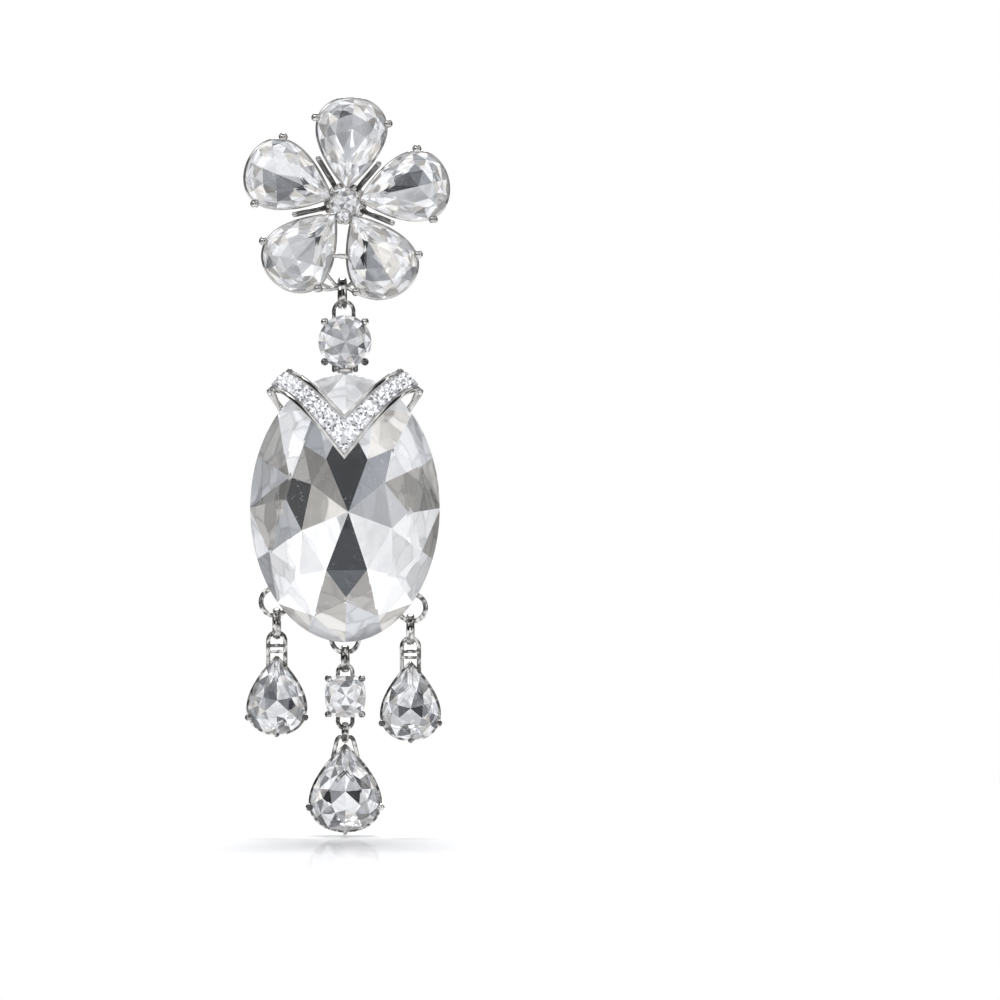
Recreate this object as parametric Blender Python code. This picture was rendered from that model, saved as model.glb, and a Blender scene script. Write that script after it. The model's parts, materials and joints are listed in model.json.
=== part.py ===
"""Chandelier earring: a flower of five pear stones, a round link, a large oval stone under a pave
chevron, two side drops and a centre drop, all in claw settings of polished white metal.

Units are metres with +Z up. The earring faces -Y. The origin is where the ear post leaves the
back of the flower, in the flower's middle.
"""
import math
from dataclasses import dataclass

import bmesh
import bpy
import numpy as np
from mathutils import Matrix, Vector

MM = 0.001

# Clearances
STONE_GAP = 0.06 * MM
LINK_GAP = 0.06 * MM
BED_GAP = 0.05 * MM
PIN_GAP = 0.05 * MM

# Ear post and back plate
POST_LENGTH = 10.5 * MM
POST_RADIUS = 0.4 * MM
PLATE_RADIUS = 2.0 * MM
PLATE_THICKNESS = 0.6 * MM

# Flower
PETAL_COUNT = 5
PETAL_TURN = math.radians(5)
PETAL_TIP_RADIUS = 1.5 * MM
PETAL_GIRDLE_HEIGHT = 2.7 * MM
PETAL_RIM_RADIUS = 0.22 * MM
PETAL_ARM_RADIUS = 0.2 * MM
PETAL_BALL_RADIUS = 0.43 * MM
PETAL_BALL_LIFT = 0.3 * MM
PETAL_CLAW_ANGLE = math.radians(119)
PETAL_ARM_SPREAD = math.radians(14)
PETAL_ARM_UNDER = 0.45
ARM_ROOT_REACH = 1.6 * MM
GAP_BEAD_REACH = 4.8 * MM
GAP_BEAD_RADIUS = 0.27 * MM
GAP_ARM_RADIUS = 0.26 * MM
GAP_ARM_BEND_REACH = 2.8 * MM
GAP_BAR_REACH = 5.0 * MM
GAP_BAR_HALF_WIDTH = 0.8 * MM
BOTTOM_GAP = 2

# Middle of the flower
CENTRE_GIRDLE_HEIGHT = 3.25 * MM
CENTRE_SEAT_RADIUS = 0.62 * MM
CENTRE_CLAW_RADIUS = 0.12 * MM
CENTRE_BALL_RADIUS = 0.2 * MM
CENTRE_CLAW_ANGLES = (34, 54, 120, 142, 192, 343)
ACCENT_OFFSET = 1.28 * MM
ACCENT_GIRDLE_HEIGHT = 4.3 * MM
ACCENT_COLLAR_RADIUS = 0.13 * MM

# Bottom loop of the flower and the ring on it
HINGE_DEPTH = 2.0 * MM
LOOP_DROP = 7.85 * MM
LOOP_WIRE_RADIUS = 0.17 * MM
LOOP_HALF_WIDTH = 0.5 * MM
LOOP_WIRE_SPREAD = 0.17 * MM
LOOP_LOW_WIRES = -0.13 * MM
LOOP_WIRE_STARTS = ((-25, 205), (-45, 225), (-62, 242))
LOOP_BEND_SHARE = 0.6
LOOP_BEND_SAG = 0.1 * MM
TOP_RING_OUTER = 3.1 * MM
TOP_RING_WIRE = 0.56 * MM
TOP_RING_WIDTH = 0.86 * MM
TOP_RING_SHIFT = -0.25 * MM

# Round link
LINK_DROP = 12.97 * MM
LINK_BAIL_SHIFT = -0.12 * MM
LINK_BAIL_HALF_WIDTH = 0.92 * MM
LINK_BAIL_WIRE_RADIUS = 0.18 * MM
LINK_BAIL_SPACING = 0.42 * MM
LINK_FORWARD = 0.5 * MM
LINK_RIM_SCALE = 0.84
LINK_BAIL_FOOT_SHARE = 0.93
LINK_LUG_TOP_SHARE = 0.85
PIN_BELOW_STONE = 0.155 * MM
PIN_RADIUS = 0.14 * MM
LUG_RADIUS = 0.24 * MM
KNUCKLE_WALL = 0.16 * MM
KNUCKLE_HALF_WIDTH = 0.7 * MM
STEM_RADIUS = 0.28 * MM

# Large stone and its frame
OVAL_TOP_GAP = 0.06 * MM
OVAL_BALANCE = 0.15 * MM
FRAME_RIM_SCALE = 0.95
FRAME_RIM_RADIUS = 0.28 * MM
FRAME_BACK_SCALE = 0.55
FRAME_BACK_RADIUS = 0.25 * MM
FRAME_RIB_COUNT = 8
FRAME_RIB_RADIUS = 0.22 * MM

# Rings under the large stone
HOOK_RING_RADIUS = 1.27 * MM
HOOK_WIRE_RADIUS = 0.23 * MM
SIDE_HOOK_REACH = {"left": 6.6 * MM, "right": 6.25 * MM}
SIDE_DROP_REACH = {"left": 6.4 * MM, "right": 6.1 * MM}
SIDE_HOOK_RISE = {"left": 3.75 * MM, "right": 3.2 * MM}
BOTTOM_HOOK_RISE = 0.28 * MM

# Chevron
CHEVRON_STATIONS = 8
CHEVRON_UPPER_APEX = 3.75 * MM
CHEVRON_LOWER_APEX = 7.95 * MM
CHEVRON_UPPER_REACH = 5.0 * MM
CHEVRON_LOWER_REACH = 6.85 * MM
CHEVRON_UPPER_RISE = 3.95 * MM
CHEVRON_LOWER_RISE = 6.3 * MM
CHEVRON_END_DEPTH = 0.5 * MM
CHEVRON_FLOOR = 0.35 * MM
CHEVRON_RAIL_WIDTH = 0.45 * MM
CHEVRON_RAIL_HEIGHT = 0.85 * MM
CHEVRON_STRUT_RADIUS = 0.28 * MM
CHEVRON_STRUTS = ((1.0, 42), (0.55, 33), (0.0, 24))
CHEVRON_STRUT_BEND_DROP = 0.25 * MM
CHEVRON_STRUT_BEND_SHARE = 0.4
PAVE_BED = 0.2 * MM
PAVE_ROWS = 3
PAVE_COLUMNS = 8
PAVE_SIDES = 8
PAVE_CROWN = 0.22 * MM
PAVE_FILL = 0.84
PAVE_TABLE = 0.55

# Small rings, bails and claws of the drops
RING_WIRE = 0.44 * MM
SIDE_RING_OUTER = 3.0 * MM
SIDE_RING_WIDTH = 0.76 * MM
CENTRE_RING_OUTER = 2.6 * MM
CENTRE_RING_WIDTH = 0.8 * MM
LOWER_RING_OUTER = 1.95 * MM
LOWER_RING_WIRE = 0.34 * MM
LOWER_RING_WIDTH = 0.66 * MM
BAIL_WIRE_RADIUS = 0.2 * MM
SIDE_BAIL_HALF_WIDTH = 0.8 * MM
SIDE_BAIL_LENGTH = 3.2 * MM
SIDE_BAIL_FOOT = 0.75 * MM
SIDE_BAIL_BARS = (1.4 * MM, 1.95 * MM)
SMALL_BAIL_HALF_WIDTH = 0.68 * MM
SMALL_BAIL_RISE = 0.95 * MM
SMALL_LOOP_DROP = 1.02 * MM
DROP_BAIL_HALF_WIDTH = 0.95 * MM
DROP_BAIL_RISE = 1.0 * MM
DROP_BAIL_OVERLAP = 0.9 * MM
DROP_BAIL_PROFILE = ((1.2, 1.0), (1.0, 0.5), (0.75, 0.0), (0.3, 0.0))
DROP_BAIL_SHOULDER = 0.25 * MM
DROP_BAIL_WAIST = 0.1 * MM
BAIL_FOOT_SHARE = 0.94
CLAW_RADIUS = 0.17 * MM
CLAW_BALL_RADIUS = 0.36 * MM
SMALL_BALL_RADIUS = 0.25 * MM
TIP_CLAW_RADIUS = 0.13 * MM
RIM_RADIUS = 0.18 * MM
PEAR_RIM_SCALE = 1.02
SMALL_RIM_SCALE = 0.92
BACK_RIM_SCALE = 0.55

# Mesh fineness
RING_SEGMENTS = 14
RING_SIDES = 6
BALL_SEGMENTS = 8
BEAD_SEGMENTS = 6
BALL_RINGS = 4
PETAL_RIM_POINTS = 12
RIM_POINTS = 12
BACK_RIM_POINTS = 8
FRAME_RIM_POINTS = 24
FRAME_BACK_POINTS = 16
ARCH_STEPS = 4


@dataclass(frozen=True)
class Stone:
    """Sizes of one cut stone; the girdle lies in its own XY plane and the table faces +Z."""
    shape: str
    width: float
    length: float
    crown: float
    pavilion: float
    girdle: float
    table: float
    sides: int
    lower_halves: bool


PETAL = Stone("pear", 6.3 * MM, 8.25 * MM, 1.15 * MM, 1.8 * MM, 0.26 * MM, 0.56, 20, False)
CENTRE = Stone("oval", 2.8 * MM, 2.8 * MM, 0.5 * MM, 1.1 * MM, 0.16 * MM, 0.56, 16, False)
ACCENT = Stone("oval", 1.1 * MM, 1.1 * MM, 0.22 * MM, 0.34 * MM, 0.1 * MM, 0.56, 8, False)
LINK = Stone("oval", 4.95 * MM, 4.95 * MM, 0.85 * MM, 1.9 * MM, 0.24 * MM, 0.54, 20, False)
OVAL = Stone("oval", 17.7 * MM, 25.0 * MM, 2.6 * MM, 4.2 * MM, 0.5 * MM, 0.64, 48, True)
SIDE = Stone("pear", 5.25 * MM, 7.0 * MM, 1.0 * MM, 1.7 * MM, 0.24 * MM, 0.56, 20, False)
SMALL = Stone("cushion", 3.7 * MM, 3.95 * MM, 0.7 * MM, 1.4 * MM, 0.2 * MM, 0.54, 20, False)
DROP = Stone("pear", 6.4 * MM, 7.8 * MM, 1.15 * MM, 1.9 * MM, 0.26 * MM, 0.56, 20, False)

FOLD = 8
CROWN_HALF_REACH = 0.69
LOWER_HALF_REACH = 0.6
CUSHION_POWER = 2.9
PEAR_WIDEST = 4 / math.sqrt(27)


def clear_scene():
    for item in list(bpy.data.objects):
        bpy.data.objects.remove(item, do_unlink=True)


# Materials

def principled(name, colour, roughness, metallic, transmission=0.0):
    material = bpy.data.materials.new(name)
    material.use_nodes = True
    shader = material.node_tree.nodes["Principled BSDF"]
    shader.inputs["Base Color"].default_value = (*colour, 1.0)
    shader.inputs["Roughness"].default_value = roughness
    shader.inputs["Metallic"].default_value = metallic
    shader.inputs["Transmission Weight"].default_value = transmission
    return material


def white_metal(name):
    return principled(name + "_metal", (0.78, 0.78, 0.79), 0.12, 1.0)


def clear_stone(name):
    return principled(name + "_crystal", (0.93, 0.95, 0.97), 0.02, 0.0, 0.9)


# Mesh helpers

def mesh_object(name, mesh):
    item = bpy.data.objects.new(name, mesh)
    bpy.context.scene.collection.objects.link(item)
    return item


def baked(item):
    """A plain mesh of the evaluated object, in world space, in place of the object."""
    bpy.context.view_layer.update()
    graph = bpy.context.evaluated_depsgraph_get()
    mesh = bpy.data.meshes.new_from_object(item.evaluated_get(graph))
    mesh.transform(item.matrix_world)
    name = item.name
    bpy.data.objects.remove(item, do_unlink=True)
    bm = bmesh.new()
    bm.from_mesh(mesh)
    bmesh.ops.remove_doubles(bm, verts=bm.verts, dist=0.0005 * MM)
    bmesh.ops.recalc_face_normals(bm, faces=bm.faces)
    bm.to_mesh(mesh)
    bm.free()
    return mesh_object(name, mesh)


def tube(points, radius, closed=False, fineness=1):
    """Round wire through the points; fineness 1 gives it six sides and 0 four."""
    curve = bpy.data.curves.new("wire", "CURVE")
    curve.dimensions = "3D"
    curve.bevel_depth = radius
    curve.bevel_resolution = fineness
    curve.use_fill_caps = True
    spline = curve.splines.new("POLY")
    spline.points.add(len(points) - 1)
    for knot, place in zip(spline.points, points):
        knot.co = (*place, 1.0)
    spline.use_cyclic_u = closed
    item = bpy.data.objects.new("wire", curve)
    bpy.context.scene.collection.objects.link(item)
    return baked(item)


def ball(centre, radius, segments=BALL_SEGMENTS):
    bpy.ops.mesh.primitive_uv_sphere_add(
        segments=segments, ring_count=BALL_RINGS, radius=radius, location=centre)
    return baked(bpy.context.object)


def rod(start, end, radius, sides=12):
    """Straight cylinder between two points."""
    start, end = Vector(start), Vector(end)
    along = end - start
    bpy.ops.mesh.primitive_cylinder_add(vertices=sides, radius=radius, depth=along.length)
    item = bpy.context.object
    item.rotation_euler = along.to_track_quat("Z", "Y").to_euler()
    item.location = (start + end) / 2
    return baked(item)


def ring(centre, radius, wire, width, axis):
    """Ring of flattened wire; wire is its radial thickness and width its size along the axis."""
    bpy.ops.mesh.primitive_torus_add(
        major_radius=radius, minor_radius=wire / 2,
        major_segments=RING_SEGMENTS, minor_segments=RING_SIDES)
    item = bpy.context.object
    stretch = Matrix.Diagonal((1.0, 1.0, width / wire, 1.0))
    item.data.transform(Vector(axis).to_track_quat("Z", "Y").to_matrix().to_4x4() @ stretch)
    item.location = centre
    return baked(item)


def loft(name, sections):
    """Solid through closed sections of equally many points, capped at both ends."""
    bm = bmesh.new()
    rows = [[bm.verts.new(point) for point in section] for section in sections]
    count = len(rows[0])
    for row, after in zip(rows, rows[1:]):
        for i in range(count):
            j = (i + 1) % count
            bm.faces.new((row[i], row[j], after[j], after[i]))
    bm.faces.new(rows[0])
    bm.faces.new(rows[-1])
    bmesh.ops.recalc_face_normals(bm, faces=bm.faces)
    mesh = bpy.data.meshes.new(name)
    bm.to_mesh(mesh)
    bm.free()
    return mesh_object(name, mesh)


def drop_idle_corners(mesh):
    """Remove the corners that a union leaves in the middle of straight edges."""
    bm = bmesh.new()
    bm.from_mesh(mesh)
    straight = math.radians(4.0)
    idle = [v for v in bm.verts if len(v.link_edges) == 2 and v.calc_edge_angle() < straight]
    bmesh.ops.dissolve_verts(bm, verts=idle)
    bm.to_mesh(mesh)
    bm.free()


def soldered(name, pieces):
    """One solid made of overlapping pieces by a Boolean union."""
    base = pieces[0]
    operands = bpy.data.collections.new(name + "_operands")
    bpy.context.scene.collection.children.link(operands)
    for piece in pieces[1:]:
        operands.objects.link(piece)
    union = base.modifiers.new("Solder", "BOOLEAN")
    union.operation = "UNION"
    union.operand_type = "COLLECTION"
    union.collection = operands
    union.solver = "EXACT"
    whole = baked(base)
    drop_idle_corners(whole.data)
    for piece in pieces[1:]:
        bpy.data.objects.remove(piece, do_unlink=True)
    bpy.data.collections.remove(operands)
    whole.name = name
    whole.data.name = name
    return whole


# Stones

def outline(stone, angle, scale=1.0):
    """Point of the girdle outline; angle 0 is the top, or a pear's tip, and angles run clockwise."""
    across = math.sin(angle)
    along = math.cos(angle)
    if stone.shape == "pear":
        across *= math.sin(angle / 2) / PEAR_WIDEST
        along += 1 / 3
    if stone.shape == "cushion":
        across = math.copysign(abs(across) ** (2 / CUSHION_POWER), across)
        along = math.copysign(abs(along) ** (2 / CUSHION_POWER), along)
    return Vector((across * stone.width / 2, along * stone.length / 2, 0.0)) * scale


def at_height(point, height):
    return Vector((point.x, point.y, height))


def rim_depth(stone, scale, radius):
    """How far below the girdle plane a wire lies that just clears the back of the stone."""
    slope = math.atan2(stone.pavilion, min(stone.width, stone.length) / 2)
    inward = max(0.0, 1 - scale * math.cos(math.pi / FOLD))
    return stone.girdle / 2 + inward * stone.pavilion + (radius + STONE_GAP) / math.cos(slope)


def plane_of(first, second, third):
    """Plane through three points as a point and a normal that faces away from the middle."""
    normal = (second - first).cross(third - first).normalized()
    if normal.dot(first) < 0:
        normal = -normal
    return first, normal


def meeting(plane_a, plane_b, height):
    """Point at one height on the line where two planes meet."""
    rows = np.array([tuple(plane_a[1]), tuple(plane_b[1]), (0.0, 0.0, 1.0)])
    sides = np.array([plane_a[0].dot(plane_a[1]), plane_b[0].dot(plane_b[1]), height])
    return Vector(np.linalg.solve(rows, sides))


def half_facets(stone, top, apex_scale, reach, edge):
    """Planes of one half of the stone: mains, then the halves along the girdle, then the stars."""
    step = 2 * math.pi / FOLD
    mains = []
    for k in range(FOLD):
        rim = at_height(outline(stone, k * step), edge)
        side = outline(stone, k * step + 0.01) - outline(stone, k * step - 0.01)
        inner = at_height(outline(stone, k * step, apex_scale), top)
        if k == 0 and stone.shape == "pear":
            side = Vector((1.0, 0.0, 0.0))
        mains.append(plane_of(rim, rim + side, inner))
    halves = []
    stars = []
    for k in range(FOLD):
        after = (k + 1) % FOLD
        meet = meeting(mains[k], mains[after], edge + reach * (top - edge))
        first = at_height(outline(stone, k * step), edge)
        middle = at_height(outline(stone, (k + 0.5) * step), edge)
        last = at_height(outline(stone, (k + 1) * step), edge)
        halves.append(plane_of(first, middle, meet))
        halves.append(plane_of(middle, last, meet))
        corner = at_height(outline(stone, k * step, stone.table), top)
        following = at_height(outline(stone, (k + 1) * step, stone.table), top)
        stars.append(plane_of(corner, following, meet))
    return mains, halves, stars


def cut_stone(name, stone):
    """Prism on the outline, cut by the planes of its facets as a gem is ground."""
    bm = bmesh.new()
    steps = [2 * math.pi * i / stone.sides for i in range(stone.sides)]
    base = [bm.verts.new(at_height(outline(stone, a), -stone.girdle / 2 - stone.pavilion)) for a in steps]
    floor = bm.faces.new(base)
    raised = bmesh.ops.extrude_face_region(bm, geom=[floor])["geom"]
    lift = Vector((0.0, 0.0, stone.girdle + stone.crown + stone.pavilion))
    bmesh.ops.translate(bm, vec=lift, verts=[v for v in raised if isinstance(v, bmesh.types.BMVert)])
    edge = stone.girdle / 2
    crown = half_facets(stone, edge + stone.crown, stone.table, CROWN_HALF_REACH, edge)
    back = half_facets(stone, -edge - stone.pavilion, 0.0, LOWER_HALF_REACH, -edge)
    planes = crown[0] + crown[1] + crown[2] + back[0]
    if stone.lower_halves:
        planes = planes + back[1]
    for point, normal in planes:
        whole = list(bm.verts) + list(bm.edges) + list(bm.faces)
        bmesh.ops.bisect_plane(
            bm, geom=whole, dist=0.0003 * MM, plane_co=point, plane_no=normal, clear_outer=True)
        rims = [e for e in bm.edges if e.is_boundary]
        if rims:
            bmesh.ops.holes_fill(bm, edges=rims, sides=0)
    bmesh.ops.remove_doubles(bm, verts=bm.verts, dist=0.002 * MM)
    bmesh.ops.dissolve_limit(bm, angle_limit=math.radians(0.2), verts=bm.verts, edges=bm.edges)
    bmesh.ops.recalc_face_normals(bm, faces=bm.faces)
    mesh = bpy.data.meshes.new(name)
    bm.to_mesh(mesh)
    bm.free()
    return mesh_object(name, mesh)


# Settings

def rim(stone, scale, radius, points, fineness=1):
    """Closed wire that follows the stone's outline just clear of its back."""
    depth = rim_depth(stone, scale, radius)
    turns = [2 * math.pi * i / points for i in range(points)]
    return tube([at_height(outline(stone, a, scale), -depth) for a in turns], radius, True, fineness)


def claw(stone, angle, ball_radius, rim_scale):
    """Wire from the back rim over the upper rim and past the girdle, with a ball that grips the edge."""
    edge = outline(stone, angle)
    away = edge.normalized()
    outside = edge + away * (CLAW_RADIUS + STONE_GAP)
    foot = at_height(outline(stone, angle, BACK_RIM_SCALE), -rim_depth(stone, BACK_RIM_SCALE, RIM_RADIUS))
    bend = at_height(outline(stone, angle, rim_scale), -rim_depth(stone, rim_scale, RIM_RADIUS))
    knee = at_height(outside, -stone.girdle / 2 - CLAW_RADIUS)
    grip = at_height(edge + away * ball_radius * 0.5, stone.girdle / 2 + ball_radius + STONE_GAP)
    return [tube([foot, bend, knee, grip], CLAW_RADIUS, fineness=0), ball(grip, ball_radius)]


def tip_claw(stone, rim_scale):
    """Thin claw that bends over a pear's tip."""
    tip = outline(stone, 0.0)
    over = tip + Vector((0.0, TIP_CLAW_RADIUS + STONE_GAP, 0.0))
    foot = at_height(outline(stone, 0.0, rim_scale), -rim_depth(stone, rim_scale, RIM_RADIUS))
    high = at_height(over, stone.girdle / 2 + SMALL_BALL_RADIUS)
    grip = at_height(tip, stone.girdle / 2 + SMALL_BALL_RADIUS * 1.7)
    return [tube([foot, at_height(over, 0.0), high], TIP_CLAW_RADIUS, fineness=0),
            ball(grip, SMALL_BALL_RADIUS, BEAD_SEGMENTS)]


def basket(stone, claws, rim_scale):
    """Two rims and the claws of an open setting, as loose pieces; claws lists angle and ball radius."""
    pieces = [rim(stone, rim_scale, RIM_RADIUS, RIM_POINTS)]
    pieces.append(rim(stone, BACK_RIM_SCALE, RIM_RADIUS, BACK_RIM_POINTS, 0))
    for angle, ball_radius in claws:
        pieces += claw(stone, math.radians(angle), ball_radius, rim_scale)
    return pieces


def arch(half_width, foot, top, depth, turn=1):
    """Points of a bail: two legs and a round top, in the XY plane at one depth."""
    spring = top - turn * half_width
    points = [Vector((-half_width, foot, depth))]
    for i in range(ARCH_STEPS + 1):
        a = math.pi * i / ARCH_STEPS
        points.append(Vector((-half_width * math.cos(a), spring + turn * half_width * math.sin(a), depth)))
    points.append(Vector((half_width, foot, depth)))
    return points


# Placing

def facing_front(x, depth, height, spin=0.0):
    """Matrix that turns a piece built in the XY plane to face the front at a place."""
    place = Matrix.Translation((x, depth, height))
    return place @ Matrix.Rotation(math.pi / 2, 4, "X") @ Matrix.Rotation(spin, 4, "Z")


def finish(item, name, collection, matrix, pivot, material, smooth):
    """Name the piece, give it its material and shading, and place it under its pivot."""
    item.name = name
    item.data.name = name
    for other in list(item.users_collection):
        other.objects.unlink(item)
    collection.objects.link(item)
    item.data.materials.clear()
    item.data.materials.append(material)
    if smooth:
        item.data.shade_smooth()
        item.data.set_sharp_from_angle(angle=math.radians(40))
    else:
        item.data.shade_flat()
    if pivot is not None:
        item.parent = pivot
        matrix = pivot.matrix_world.inverted() @ matrix
    item.matrix_basis = matrix
    return item


def pivot_at(name, collection, place, parent=None):
    empty = bpy.data.objects.new(name, None)
    empty.empty_display_size = 2 * MM
    collection.objects.link(empty)
    if parent is not None:
        empty.parent = parent
        place = Vector(place) - parent.matrix_world.translation
    empty.location = place
    bpy.context.view_layer.update()
    return empty


# Flower

def petal_angle(index):
    return math.pi / 2 - PETAL_TURN + index * 2 * math.pi / PETAL_COUNT


def petal_matrix(index):
    """From a petal stone's own frame to the flower's, its tip towards the middle."""
    angle = petal_angle(index)
    reach = PETAL_TIP_RADIUS + PETAL.length * 2 / 3
    place = Matrix.Translation((reach * math.cos(angle), reach * math.sin(angle), PETAL_GIRDLE_HEIGHT))
    return place @ Matrix.Rotation(angle + math.pi / 2, 4, "Z")


def polar(reach, angle, height):
    return Vector((reach * math.cos(angle), reach * math.sin(angle), height))


def petal_setting(index):
    """Rim under one petal stone and its two claw arms from the back plate."""
    to_flower = petal_matrix(index)
    depth = rim_depth(PETAL, 1.0, PETAL_RIM_RADIUS)
    turns = [2 * math.pi * i / PETAL_RIM_POINTS for i in range(PETAL_RIM_POINTS)]
    points = [to_flower @ at_height(outline(PETAL, a), -depth) for a in turns]
    pieces = [tube(points, PETAL_RIM_RADIUS, closed=True)]
    low = PLATE_THICKNESS / 2 - PETAL_GIRDLE_HEIGHT
    for side in (-1, 1):
        edge = outline(PETAL, side * PETAL_CLAW_ANGLE + (0 if side > 0 else 2 * math.pi))
        away = edge.normalized()
        outside = edge + away * (PETAL_ARM_RADIUS + STONE_GAP)
        root_angle = petal_angle(index) + side * PETAL_ARM_SPREAD
        root = polar(ARM_ROOT_REACH, root_angle, PLATE_THICKNESS / 2)
        under = to_flower @ at_height(edge * PETAL_ARM_UNDER, low)
        knee = to_flower @ at_height(outside, -depth - PETAL_ARM_RADIUS * 0.4)
        tip = to_flower @ at_height(outside, PETAL.girdle / 2)
        over = edge + away * PETAL_BALL_RADIUS * 0.7
        grip = to_flower @ at_height(over, PETAL.girdle / 2 + PETAL_BALL_LIFT)
        pieces.append(tube([root, under, knee, tip, grip], PETAL_ARM_RADIUS, fineness=0))
        pieces.append(ball(grip, PETAL_BALL_RADIUS))
    return pieces


def gap_setting(index):
    """Arm and bead in the gap after one petal, or the cross bar in the gap above the bottom loop."""
    angle = petal_angle(index) + math.pi / PETAL_COUNT
    rim_height = PETAL_GIRDLE_HEIGHT - rim_depth(PETAL, 1.0, PETAL_RIM_RADIUS)
    if index == BOTTOM_GAP:
        start = polar(GAP_BAR_REACH, angle, rim_height)
        across = polar(GAP_BAR_HALF_WIDTH, angle + math.pi / 2, 0.0)
        return [tube([start - across, start + across], GAP_ARM_RADIUS)]
    low = polar(ARM_ROOT_REACH, angle, PLATE_THICKNESS / 2)
    bend = polar(GAP_ARM_BEND_REACH, angle, rim_height - GAP_ARM_RADIUS)
    outer = polar(GAP_BEAD_REACH, angle, rim_height)
    top = polar(GAP_BEAD_REACH, angle, PETAL_GIRDLE_HEIGHT + PETAL.girdle)
    wire = tube([low, bend, outer], GAP_ARM_RADIUS, fineness=0)
    stem = tube([outer, top], GAP_BEAD_RADIUS * 0.7, fineness=0)
    return [wire, stem, ball(top, GAP_BEAD_RADIUS, BEAD_SEGMENTS)]


def centre_setting():
    """Seat and claws of the middle stone, and the collar of the accent stone."""
    back = CENTRE_GIRDLE_HEIGHT - CENTRE.girdle / 2 - CENTRE.pavilion - STONE_GAP
    pieces = [rod((0, 0, PLATE_THICKNESS / 2), (0, 0, back), CENTRE_SEAT_RADIUS)]
    reach = CENTRE.width / 2 + CENTRE_CLAW_RADIUS + STONE_GAP
    root_height = PLATE_THICKNESS + CENTRE_CLAW_RADIUS
    for degrees in CENTRE_CLAW_ANGLES:
        angle = math.radians(degrees)
        root = polar(CENTRE_SEAT_RADIUS * 0.7, angle, root_height)
        knee = polar(reach, angle, CENTRE_GIRDLE_HEIGHT - CENTRE.girdle * 2)
        tip = polar(reach, angle, CENTRE_GIRDLE_HEIGHT + CENTRE.girdle)
        grip = polar(reach, angle, CENTRE_GIRDLE_HEIGHT + CENTRE.girdle + CENTRE_BALL_RADIUS / 2)
        pieces.append(tube([root, knee, tip], CENTRE_CLAW_RADIUS, fineness=0))
        pieces.append(ball(grip, CENTRE_BALL_RADIUS, BEAD_SEGMENTS))
    middle = accent_place()
    collar_radius = ACCENT.width / 2 + ACCENT_COLLAR_RADIUS / 2
    collar_height = ACCENT_GIRDLE_HEIGHT - ACCENT.girdle - ACCENT_COLLAR_RADIUS * 1.4
    collar_centre = Vector((middle.x, middle.y, collar_height))
    pieces.append(ring(collar_centre, collar_radius, ACCENT_COLLAR_RADIUS * 2,
                       ACCENT_COLLAR_RADIUS * 2, (0, 0, 1)))
    angle = petal_angle(BOTTOM_GAP) + math.pi / PETAL_COUNT
    foot = polar(ARM_ROOT_REACH, angle, PLATE_THICKNESS / 2)
    top = polar(ACCENT_OFFSET + collar_radius, angle, collar_height)
    pieces.append(tube([foot, top], ACCENT_COLLAR_RADIUS * 1.4))
    return pieces


def accent_place():
    """Middle of the accent stone, straight above the gap over the bottom loop."""
    return polar(ACCENT_OFFSET, petal_angle(BOTTOM_GAP) + math.pi / PETAL_COUNT, ACCENT_GIRDLE_HEIGHT)


def loop_wires():
    """Three wires of the bottom loop, side by side where the jump ring hangs."""
    spread = LOOP_WIRE_SPREAD
    offsets = ((0.0, spread), (-spread, LOOP_LOW_WIRES), (spread, LOOP_LOW_WIRES))
    rim_height = PETAL_GIRDLE_HEIGHT - rim_depth(PETAL, 1.0, PETAL_RIM_RADIUS)
    pieces = []
    for (forward, lift), (left_angle, right_angle) in zip(offsets, LOOP_WIRE_STARTS):
        ends = []
        for index, degrees in ((BOTTOM_GAP, left_angle), (BOTTOM_GAP + 1, right_angle)):
            head = petal_matrix(index).translation
            reach = PETAL.width / 2
            side = polar(reach, math.radians(degrees), LOOP_WIRE_RADIUS * 0.3)
            ends.append(Vector((head.x, head.y, rim_height)) + side)
        level = -LOOP_DROP + lift
        bottom_left = Vector((TOP_RING_SHIFT - LOOP_HALF_WIDTH, level, HINGE_DEPTH + forward))
        bottom_right = Vector((TOP_RING_SHIFT + LOOP_HALF_WIDTH, level, HINGE_DEPTH + forward))
        sag = Vector((0.0, -LOOP_BEND_SAG, 0.0))
        bend_left = ends[0].lerp(bottom_left, LOOP_BEND_SHARE) + sag
        bend_right = ends[1].lerp(bottom_right, LOOP_BEND_SHARE) + sag
        path = [ends[0], bend_left, bottom_left, bottom_right, bend_right, ends[1]]
        pieces.append(tube(path, LOOP_WIRE_RADIUS))
    return pieces


def flower_frame():
    plate = rod((0, 0, 0), (0, 0, PLATE_THICKNESS), PLATE_RADIUS, 16)
    pieces = [plate, rod((0, 0, -POST_LENGTH), (0, 0, PLATE_THICKNESS / 2), POST_RADIUS)]
    for index in range(PETAL_COUNT):
        pieces += petal_setting(index)
        pieces += gap_setting(index)
    pieces += centre_setting()
    pieces += loop_wires()
    return soldered("flower_frame", pieces)


# Round link

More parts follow.
